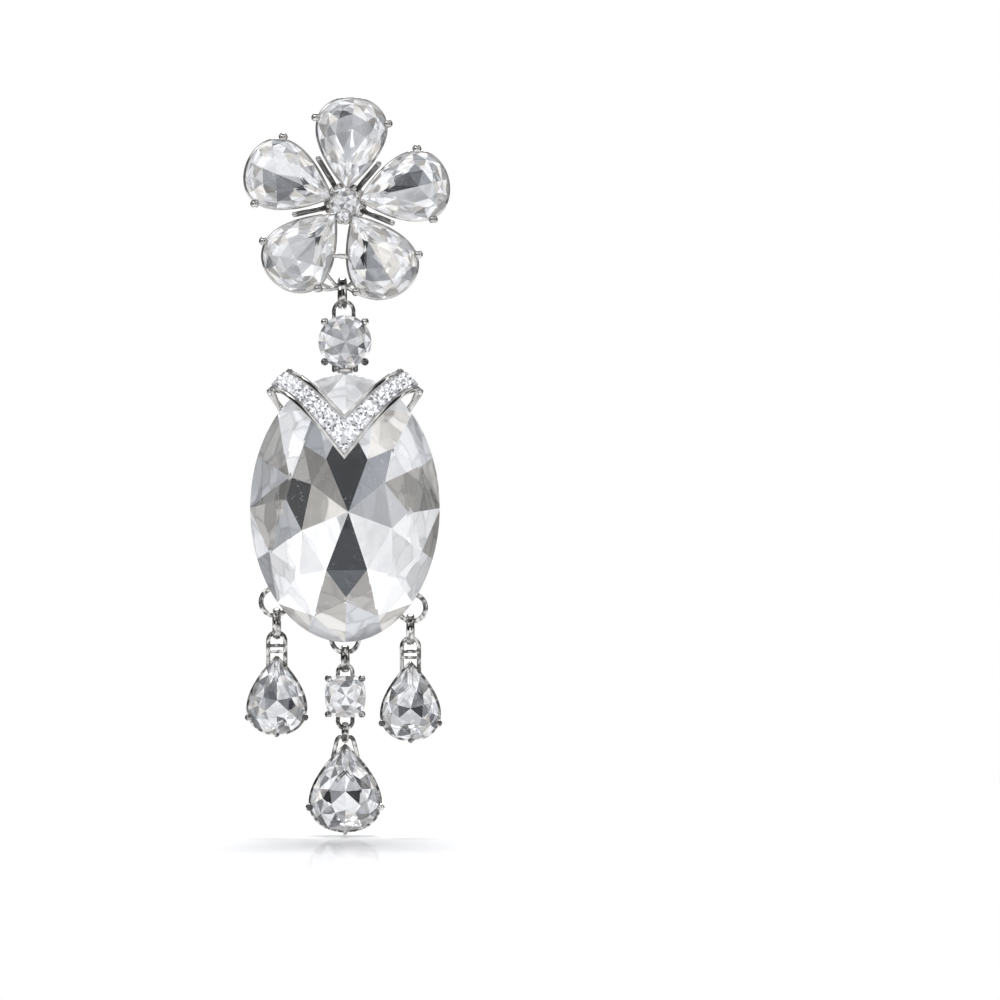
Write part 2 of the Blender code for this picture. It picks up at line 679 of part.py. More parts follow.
def link_setting():
    """Basket with a double bail above and two lugs with the hinge pin below."""
    claws = [(angle, CLAW_BALL_RADIUS) for angle in (45, 135, 225, 315)]
    pieces = basket(LINK, claws, LINK_RIM_SCALE)
    rim_level = -rim_depth(LINK, LINK_RIM_SCALE, RIM_RADIUS)
    bail_top = LINK_DROP - ring_bottom_inside() + LINK_GAP + LINK_BAIL_WIRE_RADIUS
    foot = LINK.length / 2 * LINK_RIM_SCALE * LINK_BAIL_FOOT_SHARE
    for side in (-0.5, 0.5):
        path = arch(LINK_BAIL_HALF_WIDTH, foot, bail_top, side * LINK_BAIL_SPACING - LINK_FORWARD)
        path = [Vector((p.x + LINK_BAIL_SHIFT, p.y, p.z)) for p in path]
        path[0].z = rim_level
        path[-1].z = rim_level
        pieces.append(tube(path, LINK_BAIL_WIRE_RADIUS))
    pin_level = -pin_below_link()
    lug_x = KNUCKLE_HALF_WIDTH + PIN_GAP + LUG_RADIUS
    pieces.append(rod((-lug_x, pin_level, -LINK_FORWARD), (lug_x, pin_level, -LINK_FORWARD), PIN_RADIUS, 10))
    for side in (-1, 1):
        x = side * lug_x
        top = Vector((x, -LINK.length / 2 * LINK_RIM_SCALE * LINK_LUG_TOP_SHARE, rim_level))
        low = Vector((x, pin_level - LUG_RADIUS, -LINK_FORWARD))
        pieces.append(tube([top, Vector((x, pin_level + LUG_RADIUS, -LINK_FORWARD)), low], LUG_RADIUS))
    return soldered("link_setting", pieces)


def ring_bottom_inside():
    """Depth below the origin of the top ring's inner edge, where the link's bail rests."""
    loop_top = LOOP_DROP - LOOP_WIRE_SPREAD - LOOP_WIRE_RADIUS
    ring_inside = TOP_RING_OUTER - 2 * TOP_RING_WIRE
    return loop_top - LINK_GAP + ring_inside


def pin_below_link():
    """Distance from the link stone's middle down to the hinge pin."""
    return LINK.length / 2 + PIN_BELOW_STONE


def pin_drop():
    return LINK_DROP + pin_below_link()


# Large stone, its frame and the chevron

def oval_drop():
    """Depth of the large stone's middle below the origin."""
    knuckle = PIN_RADIUS + PIN_GAP + KNUCKLE_WALL
    return pin_drop() + knuckle + OVAL_TOP_GAP + OVAL.length / 2


def chevron_share(s):
    """Rise of the chevron's edge along one arm, easing out level at the arm's end."""
    return (4 * s - s ** 4) / 3


def chevron_station(s):
    """Upper and lower edge points of the channel's back at a share s of one arm, and its directions."""
    front = OVAL.girdle / 2 + OVAL.crown + STONE_GAP
    depth = front - (front - CHEVRON_END_DEPTH) * s ** 4
    top = OVAL.length / 2
    upper = Vector((CHEVRON_UPPER_REACH * s,
                    top - CHEVRON_UPPER_APEX + CHEVRON_UPPER_RISE * chevron_share(s), depth))
    lower = Vector((CHEVRON_LOWER_REACH * s,
                    top - CHEVRON_LOWER_APEX + CHEVRON_LOWER_RISE * chevron_share(s), depth))
    return upper, lower


def chevron_frame(s):
    """Edge points with the unit directions across the channel and out of it."""
    upper, lower = chevron_station(s)
    ahead = sum(chevron_station(min(s + 0.02, 1.0)), Vector((0, 0, 0)))
    behind = sum(chevron_station(max(s - 0.02, 0.0)), Vector((0, 0, 0)))
    along = (ahead - behind).normalized()
    across = (upper - lower).normalized()
    out = along.cross(across).normalized()
    if s == 0:
        out = Vector((0, 0, 1))
    return upper, lower, across, out


def mirrored(sections, order):
    """Sections of the other arm, with the points of each in the given order."""
    other = []
    for section in reversed(sections[1:]):
        flipped = [Vector((-p.x, p.y, p.z)) for p in section]
        other.append([flipped[i] for i in order])
    return other


def chevron_channel():
    """Channel of the chevron: a floor between two raised rails, lofted along both arms."""
    sections = []
    for i in range(CHEVRON_STATIONS):
        upper, lower, across, out = chevron_frame(i / (CHEVRON_STATIONS - 1))
        wall = across * CHEVRON_RAIL_WIDTH
        high = out * CHEVRON_RAIL_HEIGHT
        low = out * CHEVRON_FLOOR
        sections.append([lower, upper, upper + high, upper - wall + high, upper - wall + low,
                         lower + wall + low, lower + wall + high, lower + high])
    return loft("channel", mirrored(sections, range(8)) + sections)


def pave_bed_point(s, share, lift):
    """Point in the channel: share runs from the lower rail to the upper one."""
    upper, lower, across, out = chevron_frame(s)
    inset = CHEVRON_RAIL_WIDTH + BED_GAP
    start = lower + across * inset
    end = upper - across * inset
    return start.lerp(end, share) + out * (CHEVRON_FLOOR + BED_GAP + lift), out


def pave_stone(s, share, radius, side):
    """Small eight sided stone with a table, rising from the bed."""
    middle, out = pave_bed_point(s, share, PAVE_BED * 0.2)
    middle.x *= side
    out = Vector((out.x * side, out.y, out.z))
    height = PAVE_BED * 0.8 + PAVE_CROWN
    bpy.ops.mesh.primitive_cone_add(
        vertices=PAVE_SIDES, radius1=radius, radius2=radius * PAVE_TABLE, depth=height)
    item = bpy.context.object
    item.rotation_euler = out.to_track_quat("Z", "Y").to_euler()
    item.location = middle + out * height / 2
    return baked(item)


def pave_field():
    """Bed of the pave with its stones fused on."""
    sections = []
    for i in range(CHEVRON_STATIONS):
        s = i / (CHEVRON_STATIONS - 1)
        corners = [pave_bed_point(s, share, lift)[0]
                   for share, lift in ((0, 0), (1, 0), (1, PAVE_BED), (0, PAVE_BED))]
        sections.append(corners)
    pieces = [loft("bed", mirrored(sections, range(4)) + sections)]
    low = pave_bed_point(0.5, 0.0, 0.0)[0]
    high = pave_bed_point(0.5, 1.0, 0.0)[0]
    row_pitch = (high - low).length / PAVE_ROWS
    for row in range(PAVE_ROWS):
        share = (row + 0.5) / PAVE_ROWS
        for column in range(PAVE_COLUMNS):
            s = (column + 0.5 + 0.25 * (row % 2)) / (PAVE_COLUMNS + 0.5)
            for side in (-1, 1):
                pieces.append(pave_stone(s, share, row_pitch * PAVE_FILL / 2, side))
    return soldered("pave_field", pieces)


def oval_frame():
    """Gallery behind the large stone with knuckle, chevron and the three rings below."""
    rim_level = -rim_depth(OVAL, FRAME_RIM_SCALE, FRAME_RIM_RADIUS)
    back_level = -rim_depth(OVAL, FRAME_BACK_SCALE, FRAME_BACK_RADIUS)
    pieces = [rim(OVAL, FRAME_RIM_SCALE, FRAME_RIM_RADIUS, FRAME_RIM_POINTS)]
    pieces.append(rim(OVAL, FRAME_BACK_SCALE, FRAME_BACK_RADIUS, FRAME_BACK_POINTS, 0))
    for i in range(FRAME_RIB_COUNT):
        angle = 2 * math.pi * (i + 0.5) / FRAME_RIB_COUNT
        start = at_height(outline(OVAL, angle, FRAME_RIM_SCALE), rim_level)
        end = at_height(outline(OVAL, angle, FRAME_BACK_SCALE), back_level)
        pieces.append(tube([start, end], FRAME_RIB_RADIUS, fineness=0))
    for name, side in (("left", -1), ("right", 1)):
        pieces.append(hook_ring((side * SIDE_HOOK_REACH[name], side_hook_level(name), rim_level)))
    pieces.append(hook_ring((0, bottom_hook_level(), rim_level)))
    pieces += knuckle(rim_level)
    pieces.append(chevron_channel())
    for side in (-1, 1):
        pieces += chevron_struts(side, rim_level)
    return soldered("oval_frame", pieces)


def hook_ring(centre):
    wire = 2 * HOOK_WIRE_RADIUS
    return ring(centre, HOOK_RING_RADIUS, wire, wire, (0, 0, 1))


def side_hook_level(name):
    return -OVAL.length / 2 + SIDE_HOOK_RISE[name]


def bottom_hook_level():
    return -OVAL.length / 2 + BOTTOM_HOOK_RISE


def knuckle(rim_level):
    """Barrel round the hinge pin and the stem that joins it to the rim behind the stone."""
    level = OVAL.length / 2 + OVAL_TOP_GAP + PIN_RADIUS + PIN_GAP + KNUCKLE_WALL
    radius = PIN_RADIUS + PIN_GAP + KNUCKLE_WALL / 2
    middle = Vector((0, level, OVAL_BALANCE * -1))
    barrel = ring(middle, radius, KNUCKLE_WALL, 2 * KNUCKLE_HALF_WIDTH, (1, 0, 0))
    top = at_height(outline(OVAL, 0.0, FRAME_RIM_SCALE), rim_level)
    start = middle + (top - middle).normalized() * radius
    stem = tube([start, top], STEM_RADIUS)
    return [barrel, stem]


def chevron_struts(side, rim_level):
    """Struts from one end of the chevron back to the rim."""
    upper, lower, across, out = chevron_frame(1.0)
    pieces = []
    for share, angle in CHEVRON_STRUTS:
        top = upper.lerp(lower, share) + out * (CHEVRON_FLOOR / 2)
        rim_point = at_height(outline(OVAL, math.radians(angle), FRAME_RIM_SCALE), rim_level)
        bend = Vector((top.x, top.y - CHEVRON_STRUT_BEND_DROP, rim_level * CHEVRON_STRUT_BEND_SHARE))
        path = [Vector((side * p.x, p.y, p.z)) for p in (top, bend, rim_point)]
        pieces.append(tube(path, CHEVRON_STRUT_RADIUS, fineness=0))
    return pieces


# Drops

def side_drop_setting():
    """Pear basket with a long bail that has two cross bars."""
    claws = [(124, SMALL_BALL_RADIUS * 1.3), (236, SMALL_BALL_RADIUS * 1.3), (180, SMALL_BALL_RADIUS)]
    pieces = basket(SIDE, claws, PEAR_RIM_SCALE) + tip_claw(SIDE, PEAR_RIM_SCALE)
    level = -rim_depth(SIDE, PEAR_RIM_SCALE, RIM_RADIUS)
    foot = side_bail_top() - SIDE_BAIL_LENGTH
    path = arch(SIDE_BAIL_HALF_WIDTH, foot, side_bail_top(), 0.0)
    path[0].z = level
    path[-1].z = level
    pieces.append(tube(path, BAIL_WIRE_RADIUS))
    for rise in SIDE_BAIL_BARS:
        y = foot + rise
        z = level * (1 - rise / (SIDE_BAIL_LENGTH - SIDE_BAIL_HALF_WIDTH))
        ends = [Vector((x, y, z)) for x in (-SIDE_BAIL_HALF_WIDTH, SIDE_BAIL_HALF_WIDTH)]
        pieces.append(tube(ends, BAIL_WIRE_RADIUS * 0.8))
    return soldered("side_drop_setting", pieces)


def side_bail_top():
    """Height of the side bail's wire above the middle of its stone."""
    return SIDE.length * 2 / 3 - SIDE_BAIL_FOOT + SIDE_BAIL_LENGTH


def small_setting():
    """Cushion basket with a bail above and a loop below."""
    claws = [(angle, SMALL_BALL_RADIUS * 1.35) for angle in (45, 135, 225, 315)]
    pieces = basket(SMALL, claws, SMALL_RIM_SCALE)
    level = -rim_depth(SMALL, SMALL_RIM_SCALE, RIM_RADIUS)
    edge = SMALL.length / 2
    for turn, reach in ((1, SMALL_BAIL_RISE), (-1, SMALL_LOOP_DROP)):
        foot = turn * edge * SMALL_RIM_SCALE * BAIL_FOOT_SHARE
        path = arch(SMALL_BAIL_HALF_WIDTH, foot, turn * (edge + reach), 0.0, turn)
        path[0].z = level
        path[-1].z = level
        pieces.append(tube(path, BAIL_WIRE_RADIUS))
    return soldered("small_setting", pieces)


def centre_drop_setting():
    """Pear basket with a flared bail."""
    claws = [(116, CLAW_BALL_RADIUS), (244, CLAW_BALL_RADIUS), (180, SMALL_BALL_RADIUS)]
    pieces = basket(DROP, claws, PEAR_RIM_SCALE) + tip_claw(DROP, PEAR_RIM_SCALE)
    level = -rim_depth(DROP, PEAR_RIM_SCALE, RIM_RADIUS)
    tip = DROP.length * 2 / 3
    top = tip + DROP_BAIL_RISE
    rises = (tip - DROP_BAIL_OVERLAP, tip - DROP_BAIL_WAIST, top - DROP_BAIL_SHOULDER, top)
    leg = [Vector((-DROP_BAIL_HALF_WIDTH * width, rise, level * depth))
           for (width, depth), rise in zip(DROP_BAIL_PROFILE, rises)]
    path = leg + [Vector((-p.x, p.y, p.z)) for p in reversed(leg)]
    pieces.append(tube(path, BAIL_WIRE_RADIUS))
    return soldered("centre_drop_setting", pieces)


def edge_on_ring(outer, wire, width):
    """Jump ring whose axis runs across the earring, so that it is seen edge on."""
    return ring((0, 0, 0), (outer - wire) / 2, wire, width, (1, 0, 0))


def ring_level(wire_bottom_top, outer, wire):
    """Height of a ring's middle when its inner top rests over a wire's upper side."""
    return wire_bottom_top + LINK_GAP - (outer / 2 - wire)


def build():
    clear_scene()
    earring = bpy.data.collections.new("chandelier_earring")
    bpy.context.scene.collection.children.link(earring)

    hinge_y = -HINGE_DEPTH
    drop_pivot = pivot_at("drop_pivot", earring, (0, hinge_y, -LOOP_DROP))
    pendant_pivot = pivot_at("pendant_pivot", earring, (0, hinge_y, -pin_drop()), drop_pivot)

    def metal(item, name, matrix, pivot=None):
        return finish(item, name, earring, matrix, pivot, white_metal(name), True)

    def crystal(item, name, matrix, pivot=None):
        return finish(item, name, earring, matrix, pivot, clear_stone(name), False)

    flower = facing_front(0, 0, 0)
    metal(flower_frame(), "flower_frame", flower)
    for index in range(PETAL_COUNT):
        name = "petal_stone_%d" % (index + 1)
        crystal(cut_stone(name, PETAL), name, flower @ petal_matrix(index))
    crystal(cut_stone("centre_stone", CENTRE), "centre_stone",
            flower @ Matrix.Translation((0, 0, CENTRE_GIRDLE_HEIGHT)))
    crystal(cut_stone("accent_stone", ACCENT), "accent_stone",
            flower @ Matrix.Translation(accent_place()))

    ring_middle = -(ring_bottom_inside() - (TOP_RING_OUTER / 2 - TOP_RING_WIRE))
    metal(edge_on_ring(TOP_RING_OUTER, TOP_RING_WIRE, TOP_RING_WIDTH), "top_jump_ring",
          Matrix.Translation((TOP_RING_SHIFT, hinge_y, ring_middle)), drop_pivot)
    link = facing_front(0, hinge_y - LINK_FORWARD, -LINK_DROP)
    metal(link_setting(), "link_setting", link, drop_pivot)
    crystal(cut_stone("link_stone", LINK), "link_stone", link, drop_pivot)

    stone_y = hinge_y - OVAL_BALANCE
    oval = facing_front(0, stone_y, -oval_drop())
    metal(oval_frame(), "oval_frame", oval, pendant_pivot)
    crystal(cut_stone("oval_stone", OVAL), "oval_stone", oval, pendant_pivot)
    crystal(pave_field(), "pave_field", oval, pendant_pivot)

    hang_y = stone_y + rim_depth(OVAL, FRAME_RIM_SCALE, FRAME_RIM_RADIUS)
    for name, side in (("left", -1), ("right", 1)):
        x = side * SIDE_DROP_REACH[name]
        wire_top = -oval_drop() + side_hook_level(name) - HOOK_RING_RADIUS + HOOK_WIRE_RADIUS
        z = ring_level(wire_top, SIDE_RING_OUTER, RING_WIRE)
        metal(edge_on_ring(SIDE_RING_OUTER, RING_WIRE, SIDE_RING_WIDTH), name + "_jump_ring",
              Matrix.Translation((x, hang_y, z)), pendant_pivot)
        rest = z - SIDE_RING_OUTER / 2 + RING_WIRE + LINK_GAP + BAIL_WIRE_RADIUS
        drop = facing_front(x, hang_y, rest - side_bail_top())
        metal(side_drop_setting(), name + "_drop_setting", drop, pendant_pivot)
        crystal(cut_stone(name + "_drop_stone", SIDE), name + "_drop_stone", drop, pendant_pivot)

    wire_top = -oval_drop() + bottom_hook_level() - HOOK_RING_RADIUS + HOOK_WIRE_RADIUS
    z = ring_level(wire_top, CENTRE_RING_OUTER, RING_WIRE)
    metal(edge_on_ring(CENTRE_RING_OUTER, RING_WIRE, CENTRE_RING_WIDTH), "centre_jump_ring",
          Matrix.Translation((0, hang_y, z)), pendant_pivot)
    rest = z - CENTRE_RING_OUTER / 2 + RING_WIRE + LINK_GAP + BAIL_WIRE_RADIUS
    small_z = rest - SMALL.length / 2 - SMALL_BAIL_RISE
    small = facing_front(0, hang_y, small_z)
    metal(small_setting(), "small_setting", small, pendant_pivot)
    crystal(cut_stone("small_stone", SMALL), "small_stone", small, pendant_pivot)

    wire_top = small_z - SMALL.length / 2 - SMALL_LOOP_DROP + BAIL_WIRE_RADIUS
    z = ring_level(wire_top, LOWER_RING_OUTER, LOWER_RING_WIRE)
    metal(edge_on_ring(LOWER_RING_OUTER, LOWER_RING_WIRE, LOWER_RING_WIDTH), "lower_jump_ring",
          Matrix.Translation((0, hang_y, z)), pendant_pivot)
    rest = z - LOWER_RING_OUTER / 2 + LOWER_RING_WIRE + LINK_GAP + BAIL_WIRE_RADIUS
    drop = facing_front(0, hang_y, rest - DROP.length * 2 / 3 - DROP_BAIL_RISE)
    metal(centre_drop_setting(), "centre_drop_setting", drop, pendant_pivot)
    crystal(cut_stone("centre_drop_stone", DROP), "centre_drop_stone", drop, pendant_pivot)


build()
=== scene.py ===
"""Chandelier earring: the detailed pieces, their finishes and the studio they are shown in."""
import json
import math
from dataclasses import dataclass

import bpy
import numpy as np
from bpy.props import FloatProperty, FloatVectorProperty, IntProperty, PointerProperty
from bpy.types import Operator, Panel, PropertyGroup
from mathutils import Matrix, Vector


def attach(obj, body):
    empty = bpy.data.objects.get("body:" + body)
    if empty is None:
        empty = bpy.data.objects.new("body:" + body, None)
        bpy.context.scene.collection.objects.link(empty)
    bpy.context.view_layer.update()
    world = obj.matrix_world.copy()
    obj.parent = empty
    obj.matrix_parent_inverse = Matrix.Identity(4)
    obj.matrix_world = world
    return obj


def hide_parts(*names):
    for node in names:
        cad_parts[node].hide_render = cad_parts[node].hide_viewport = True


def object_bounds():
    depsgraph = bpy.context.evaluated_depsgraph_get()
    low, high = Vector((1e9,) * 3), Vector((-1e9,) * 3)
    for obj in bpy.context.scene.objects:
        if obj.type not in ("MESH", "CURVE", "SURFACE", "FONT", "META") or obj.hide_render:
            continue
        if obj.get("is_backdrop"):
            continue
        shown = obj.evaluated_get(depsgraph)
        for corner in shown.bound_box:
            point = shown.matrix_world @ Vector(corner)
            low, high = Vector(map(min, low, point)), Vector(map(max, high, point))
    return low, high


bl_info = {
    "name": "Chandelier Earring",
    "version": (1, 0, 0),
    "blender": (4, 5, 0),
    "location": "View3D > Sidebar > Earring",
    "description": "Builds the detailed pieces of a chandelier earring on its fixed frame",
    "category": "Add Mesh",
}

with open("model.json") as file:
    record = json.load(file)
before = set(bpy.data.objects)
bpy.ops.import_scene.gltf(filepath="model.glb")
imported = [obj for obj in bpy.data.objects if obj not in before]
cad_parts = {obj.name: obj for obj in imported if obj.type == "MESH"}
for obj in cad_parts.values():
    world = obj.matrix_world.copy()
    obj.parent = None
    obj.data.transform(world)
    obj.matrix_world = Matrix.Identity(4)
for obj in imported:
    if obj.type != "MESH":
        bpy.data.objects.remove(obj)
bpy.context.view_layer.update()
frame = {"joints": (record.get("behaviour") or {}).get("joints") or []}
HINGES = {joint["name"]: joint["pos_m"] for joint in frame["joints"]}

MM = 0.001
TAU = 2 * math.pi

# Clearances, the same as those of the solids
STONE_GAP = 0.06 * MM
LINK_GAP = 0.06 * MM
BED_GAP = 0.05 * MM
PIN_GAP = 0.05 * MM

# Flower
POST_LENGTH = 10.5 * MM
POST_RADIUS = 0.4 * MM
PLATE_RADIUS = 2.0 * MM
PLATE_THICKNESS = 0.6 * MM
PETALS = 5
PETAL_TURN = math.radians(5)
PETAL_TIP_REACH = 1.5 * MM
PETAL_HEIGHT = 2.7 * MM
PETAL_CLAW_ANGLE = math.radians(119)
PETAL_ARM_SPREAD = math.radians(14)
ARM_ROOT_REACH = 1.6 * MM
GAP_BEAD_REACH = 4.8 * MM
GAP_BAR_REACH = 5.0 * MM
GAP_BAR_HALF_LENGTH = 0.8 * MM
GAP_BEND_REACH = 2.8 * MM
BOTTOM_GAP = 2
CENTRE_HEIGHT = 3.25 * MM
CENTRE_CLAWS = (34, 54, 120, 142, 192, 343)
CENTRE_CLAW_ROOT = 0.43 * MM
CENTRE_SEAT_RADIUS = 0.62 * MM
ACCENT_OFFSET = 1.28 * MM
ACCENT_HEIGHT = 4.3 * MM
COLLAR = 0.13 * MM
LOOP_WIRE_STARTS = ((-25, 205), (-45, 225), (-62, 242))

# Round link and hinge
LINK_DROP = 12.97 * MM
LINK_FORWARD = 0.5 * MM
LINK_RIM_SCALE = 0.84
LINK_BAIL_WIRE = 0.18 * MM
LINK_BAIL_HALF_WIDTH = 0.92 * MM
LINK_BAIL_SPREAD = 0.42 * MM
LINK_BAIL_SHIFT = -0.12 * MM
PIN_RADIUS = 0.14 * MM
LUG_RADIUS = 0.24 * MM
KNUCKLE_WALL = 0.16 * MM
KNUCKLE_HALF_WIDTH = 0.7 * MM

# Large stone, frame and chevron
OVAL_TOP_GAP = 0.06 * MM
OVAL_BALANCE = 0.15 * MM
FRAME_RIM_SCALE = 0.95
FRAME_RIM_RADIUS = 0.28 * MM
FRAME_BACK_SCALE = 0.55
FRAME_BACK_RADIUS = 0.25 * MM
HOOK_RING_RADIUS = 1.27 * MM
HOOK_WIRE_RADIUS = 0.23 * MM
HOOK_REACH = {"left": 6.6 * MM, "right": 6.25 * MM}
DROP_REACH = {"left": 6.4 * MM, "right": 6.1 * MM}
HOOK_RISE = {"left": 3.75 * MM, "right": 3.2 * MM}
BOTTOM_HOOK_RISE = 0.28 * MM
UPPER_APEX = 3.75 * MM
LOWER_APEX = 7.95 * MM
UPPER_REACH = 5.0 * MM
LOWER_REACH = 6.85 * MM
UPPER_RISE = 3.95 * MM
LOWER_RISE = 6.3 * MM
CHEVRON_END_DEPTH = 0.5 * MM
CHEVRON_FLOOR = 0.35 * MM
RAIL_WIDTH = 0.45 * MM
RAIL_HEIGHT = 0.85 * MM
RAIL_CORNER = 0.1 * MM
RAIL_FALL = 0.84
STRUT_RADIUS = 0.28 * MM
PAVE_BED = 0.2 * MM

# Rings, bails and claws of the drops
TOP_RING = (3.1 * MM, 0.56 * MM, 0.86 * MM)
SIDE_RING = (3.0 * MM, 0.44 * MM, 0.76 * MM)
CENTRE_RING = (2.6 * MM, 0.44 * MM, 0.8 * MM)
LOWER_RING = (1.95 * MM, 0.34 * MM, 0.66 * MM)
TOP_RING_SHIFT = -0.25 * MM
BAIL_WIRE = 0.2 * MM
SIDE_BAIL_LENGTH = 3.2 * MM
SIDE_BAIL_FOOT = 0.75 * MM
SIDE_BAIL_BARS = (1.4 * MM, 1.95 * MM)
SIDE_BAIL_HALF_WIDTH = 0.8 * MM
SMALL_BAIL_HALF_WIDTH = 0.68 * MM
SMALL_BAIL_RISE = 0.95 * MM
SMALL_LOOP_DROP = 1.02 * MM
DROP_BAIL_HALF_WIDTH = 0.95 * MM
DROP_BAIL_RISE = 1.0 * MM
BACK_RIM_SCALE = 0.55
PEAR_RIM_SCALE = 1.02
SMALL_RIM_SCALE = 0.92
DIAGONALS = (45, 135, 225, 315)

# Cuts: facets go by eights, and the painted streaks of the lower ones, reflections of other facets,
# differ from face to face
FOLD = 8
HALF_FOLD = TAU / (2 * FOLD)
BACK_MEET = 0.44
CUSHION_POWER = 2.9
PEAR_WIDEST = 4 / math.sqrt(27)
KITE_STREAKS = 0.12
DARK_FACET = 0.05
FACE_STRIDE = 7.3

# Pave: rows, sides of a stone, and the height in mm and share of the radius of its levels
PAVE_ROWS = 3
PAVE_SIDES = 8
PAVE_LEVELS = ((0.08, 1.0), (0.2, 1.0), (0.44, 0.5))
PAVE_SPREAD = 0.93
PAVE_RADII = (0.5, 0.58)
# Painted sparkle: tones that the pave facets take at random in place of what they reflect
PAVE_TONES = (0.16, 0.5, 0.85, 1.0, 1.15)
PAVE_SEED = 11

# Picture: its size, and the place of the frame's origin in it
PICTURE = 1000
ORIGIN_PIXEL = (345.0, 203.0)
SENSOR = 36.0
WHITE = (1.0, 1.0, 1.0)
AIM = (0.0, 0.0, -0.025)


@dataclass(frozen=True)
class Stone:
    """Sizes of one cut stone; its girdle lies in its own XY plane and its table faces +Z."""
    shape: str
    width: float
    length: float
    crown: float
    pavilion: float
    girdle: float
    table: float
    crown_reach: float = 0.69


PETAL = Stone("pear", 6.3 * MM, 8.25 * MM, 1.15 * MM, 1.8 * MM, 0.26 * MM, 0.56)
CENTRE = Stone("oval", 2.8 * MM, 2.8 * MM, 0.5 * MM, 1.1 * MM, 0.16 * MM, 0.56)
ACCENT = Stone("oval", 1.1 * MM, 1.1 * MM, 0.22 * MM, 0.34 * MM, 0.1 * MM, 0.56)
LINK = Stone("oval", 4.95 * MM, 4.95 * MM, 0.85 * MM, 1.9 * MM, 0.24 * MM, 0.54)
OVAL = Stone("oval", 17.7 * MM, 25.0 * MM, 2.6 * MM, 4.2 * MM, 0.5 * MM, 0.68)
SIDE = Stone("pear", 5.25 * MM, 7.0 * MM, 1.0 * MM, 1.7 * MM, 0.24 * MM, 0.56)
SMALL = Stone("cushion", 3.7 * MM, 3.95 * MM, 0.7 * MM, 1.4 * MM, 0.2 * MM, 0.54)
DROP = Stone("pear", 6.4 * MM, 7.8 * MM, 1.15 * MM, 1.9 * MM, 0.26 * MM, 0.56)


# Shader expressions

class Nodes:
    """The nodes of one material or of the world, made by one call each."""

    def __init__(self, owner):
        owner.use_nodes = True
        self.owner = owner
        self.tree = owner.node_tree
        self.tree.nodes.clear()

    def node(self, kind, settings=None, **sockets):
        """Adds a node, sets its settings first and then the values or links of its sockets."""
        node = self.tree.nodes.new("ShaderNode" + kind)
        for key, value in (settings or {}).items():
            if key == "stops":
                for extra in value[2:]:
                    node.color_ramp.elements.new(extra[0])
                for element, (place, colour) in zip(node.color_ramp.elements, value):
                    element.position = place
                    element.color = (*colour, 1.0)
            else:
                setattr(node, key, value)
        for key, value in sockets.items():
            self.feed(self.pick(node.inputs, key), value)
        return node

    @staticmethod
    def pick(sockets, key):
        """The socket of a name, or of a number for names that a node uses twice."""
        if key.startswith("in_"):
            return sockets[int(key[3:])]
        return sockets[key.replace("_", " ")]

    def feed(self, socket, value):
        """Links or sets one socket; a colour without an alpha is opaque."""
        if isinstance(value, Expression):
            self.tree.links.new(value.socket, socket)
        elif isinstance(value, bpy.types.NodeSocket):
            self.tree.links.new(value, socket)
        elif socket.type == "RGBA" and len(value) == 3:
            socket.default_value = (*value, 1.0)
        else:
            socket.default_value = value

    def out(self, node, key):
        return Expression(self, node.outputs[key])

    def attribute(self, name, key="Color"):
        return self.out(self.node("Attribute", {"attribute_name": name}), key)

    def place(self):
        return self.out(self.node("TexCoord"), "Object")

    def noise(self, scale, detail=3.0, roughness=0.5, vector=None):
        vector = self.place() if vector is None else vector
        node = self.node("TexNoise", Vector=vector, Scale=scale, Detail=detail, Roughness=roughness)
        return self.out(node, "Fac")

    def ramp(self, value, *stops):
        return self.out(self.node("ValToRGB", {"stops": stops}, Fac=value), "Color")

    def blend(self, share, first, second, mode="MIX"):
        """Mixes two colours by a share."""
        node = self.node("Mix", {"data_type": "RGBA", "blend_type": mode},
                         in_0=share, in_6=first, in_7=second)
        return Expression(self, node.outputs[2])

    def math(self, operation, first, second=0.0):
        node = self.node("Math", {"operation": operation}, in_0=first, in_1=second)
        return Expression(self, node.outputs[0])

    def eased(self, value, low, high):
        """A number brought from between two levels to between 0 and 1, eased at both ends."""
        node = self.node("MapRange", {"interpolation_type": "SMOOTHSTEP"}, Value=value,
                         From_Min=low, From_Max=high)
        return self.out(node, "Result")

    def bump(self, height, strength, distance):
        node = self.node("Bump", Strength=strength, Distance=distance, Height=height)
        return self.out(node, "Normal")

    def finish(self, shader):
        """Links the last shader to the output."""
        kind = "OutputWorld" if isinstance(self.owner, bpy.types.World) else "OutputMaterial"
        self.node(kind, Surface=shader.outputs[0])
        return self.owner


class Expression:
    """A number socket that takes part in Python arithmetic by adding Math nodes."""

    def __init__(self, nodes, socket):
        self.nodes = nodes
        self.socket = socket

    def __add__(self, other):
        return self.nodes.math("ADD", self, other)

    def __radd__(self, other):
        return self.nodes.math("ADD", other, self)

    def __rsub__(self, other):
        return self.nodes.math("SUBTRACT", other, self)

    def __mul__(self, other):
        return self.nodes.math("MULTIPLY", self, other)

    def __rmul__(self, other):
        return self.nodes.math("MULTIPLY", other, self)


# Surfaces

def unit(vectors):
    """Vectors divided by their own lengths."""
    length = np.linalg.norm(vectors, axis=-1, keepdims=True)
    return vectors / np.maximum(length, 1e-12)


def vec(x, y, z):
    """A point or direction."""
    return np.array((x, y, z), dtype=float)


# Directions from which a wire takes the one that lies most across it
SIDEWAYS = unit(np.array([(x, y, z) for x in (-1, 0, 1) for y in (-1, 0, 1) for z in (0, 1)
                          if (x, y, z) != (0, 0, 0)], dtype=float))


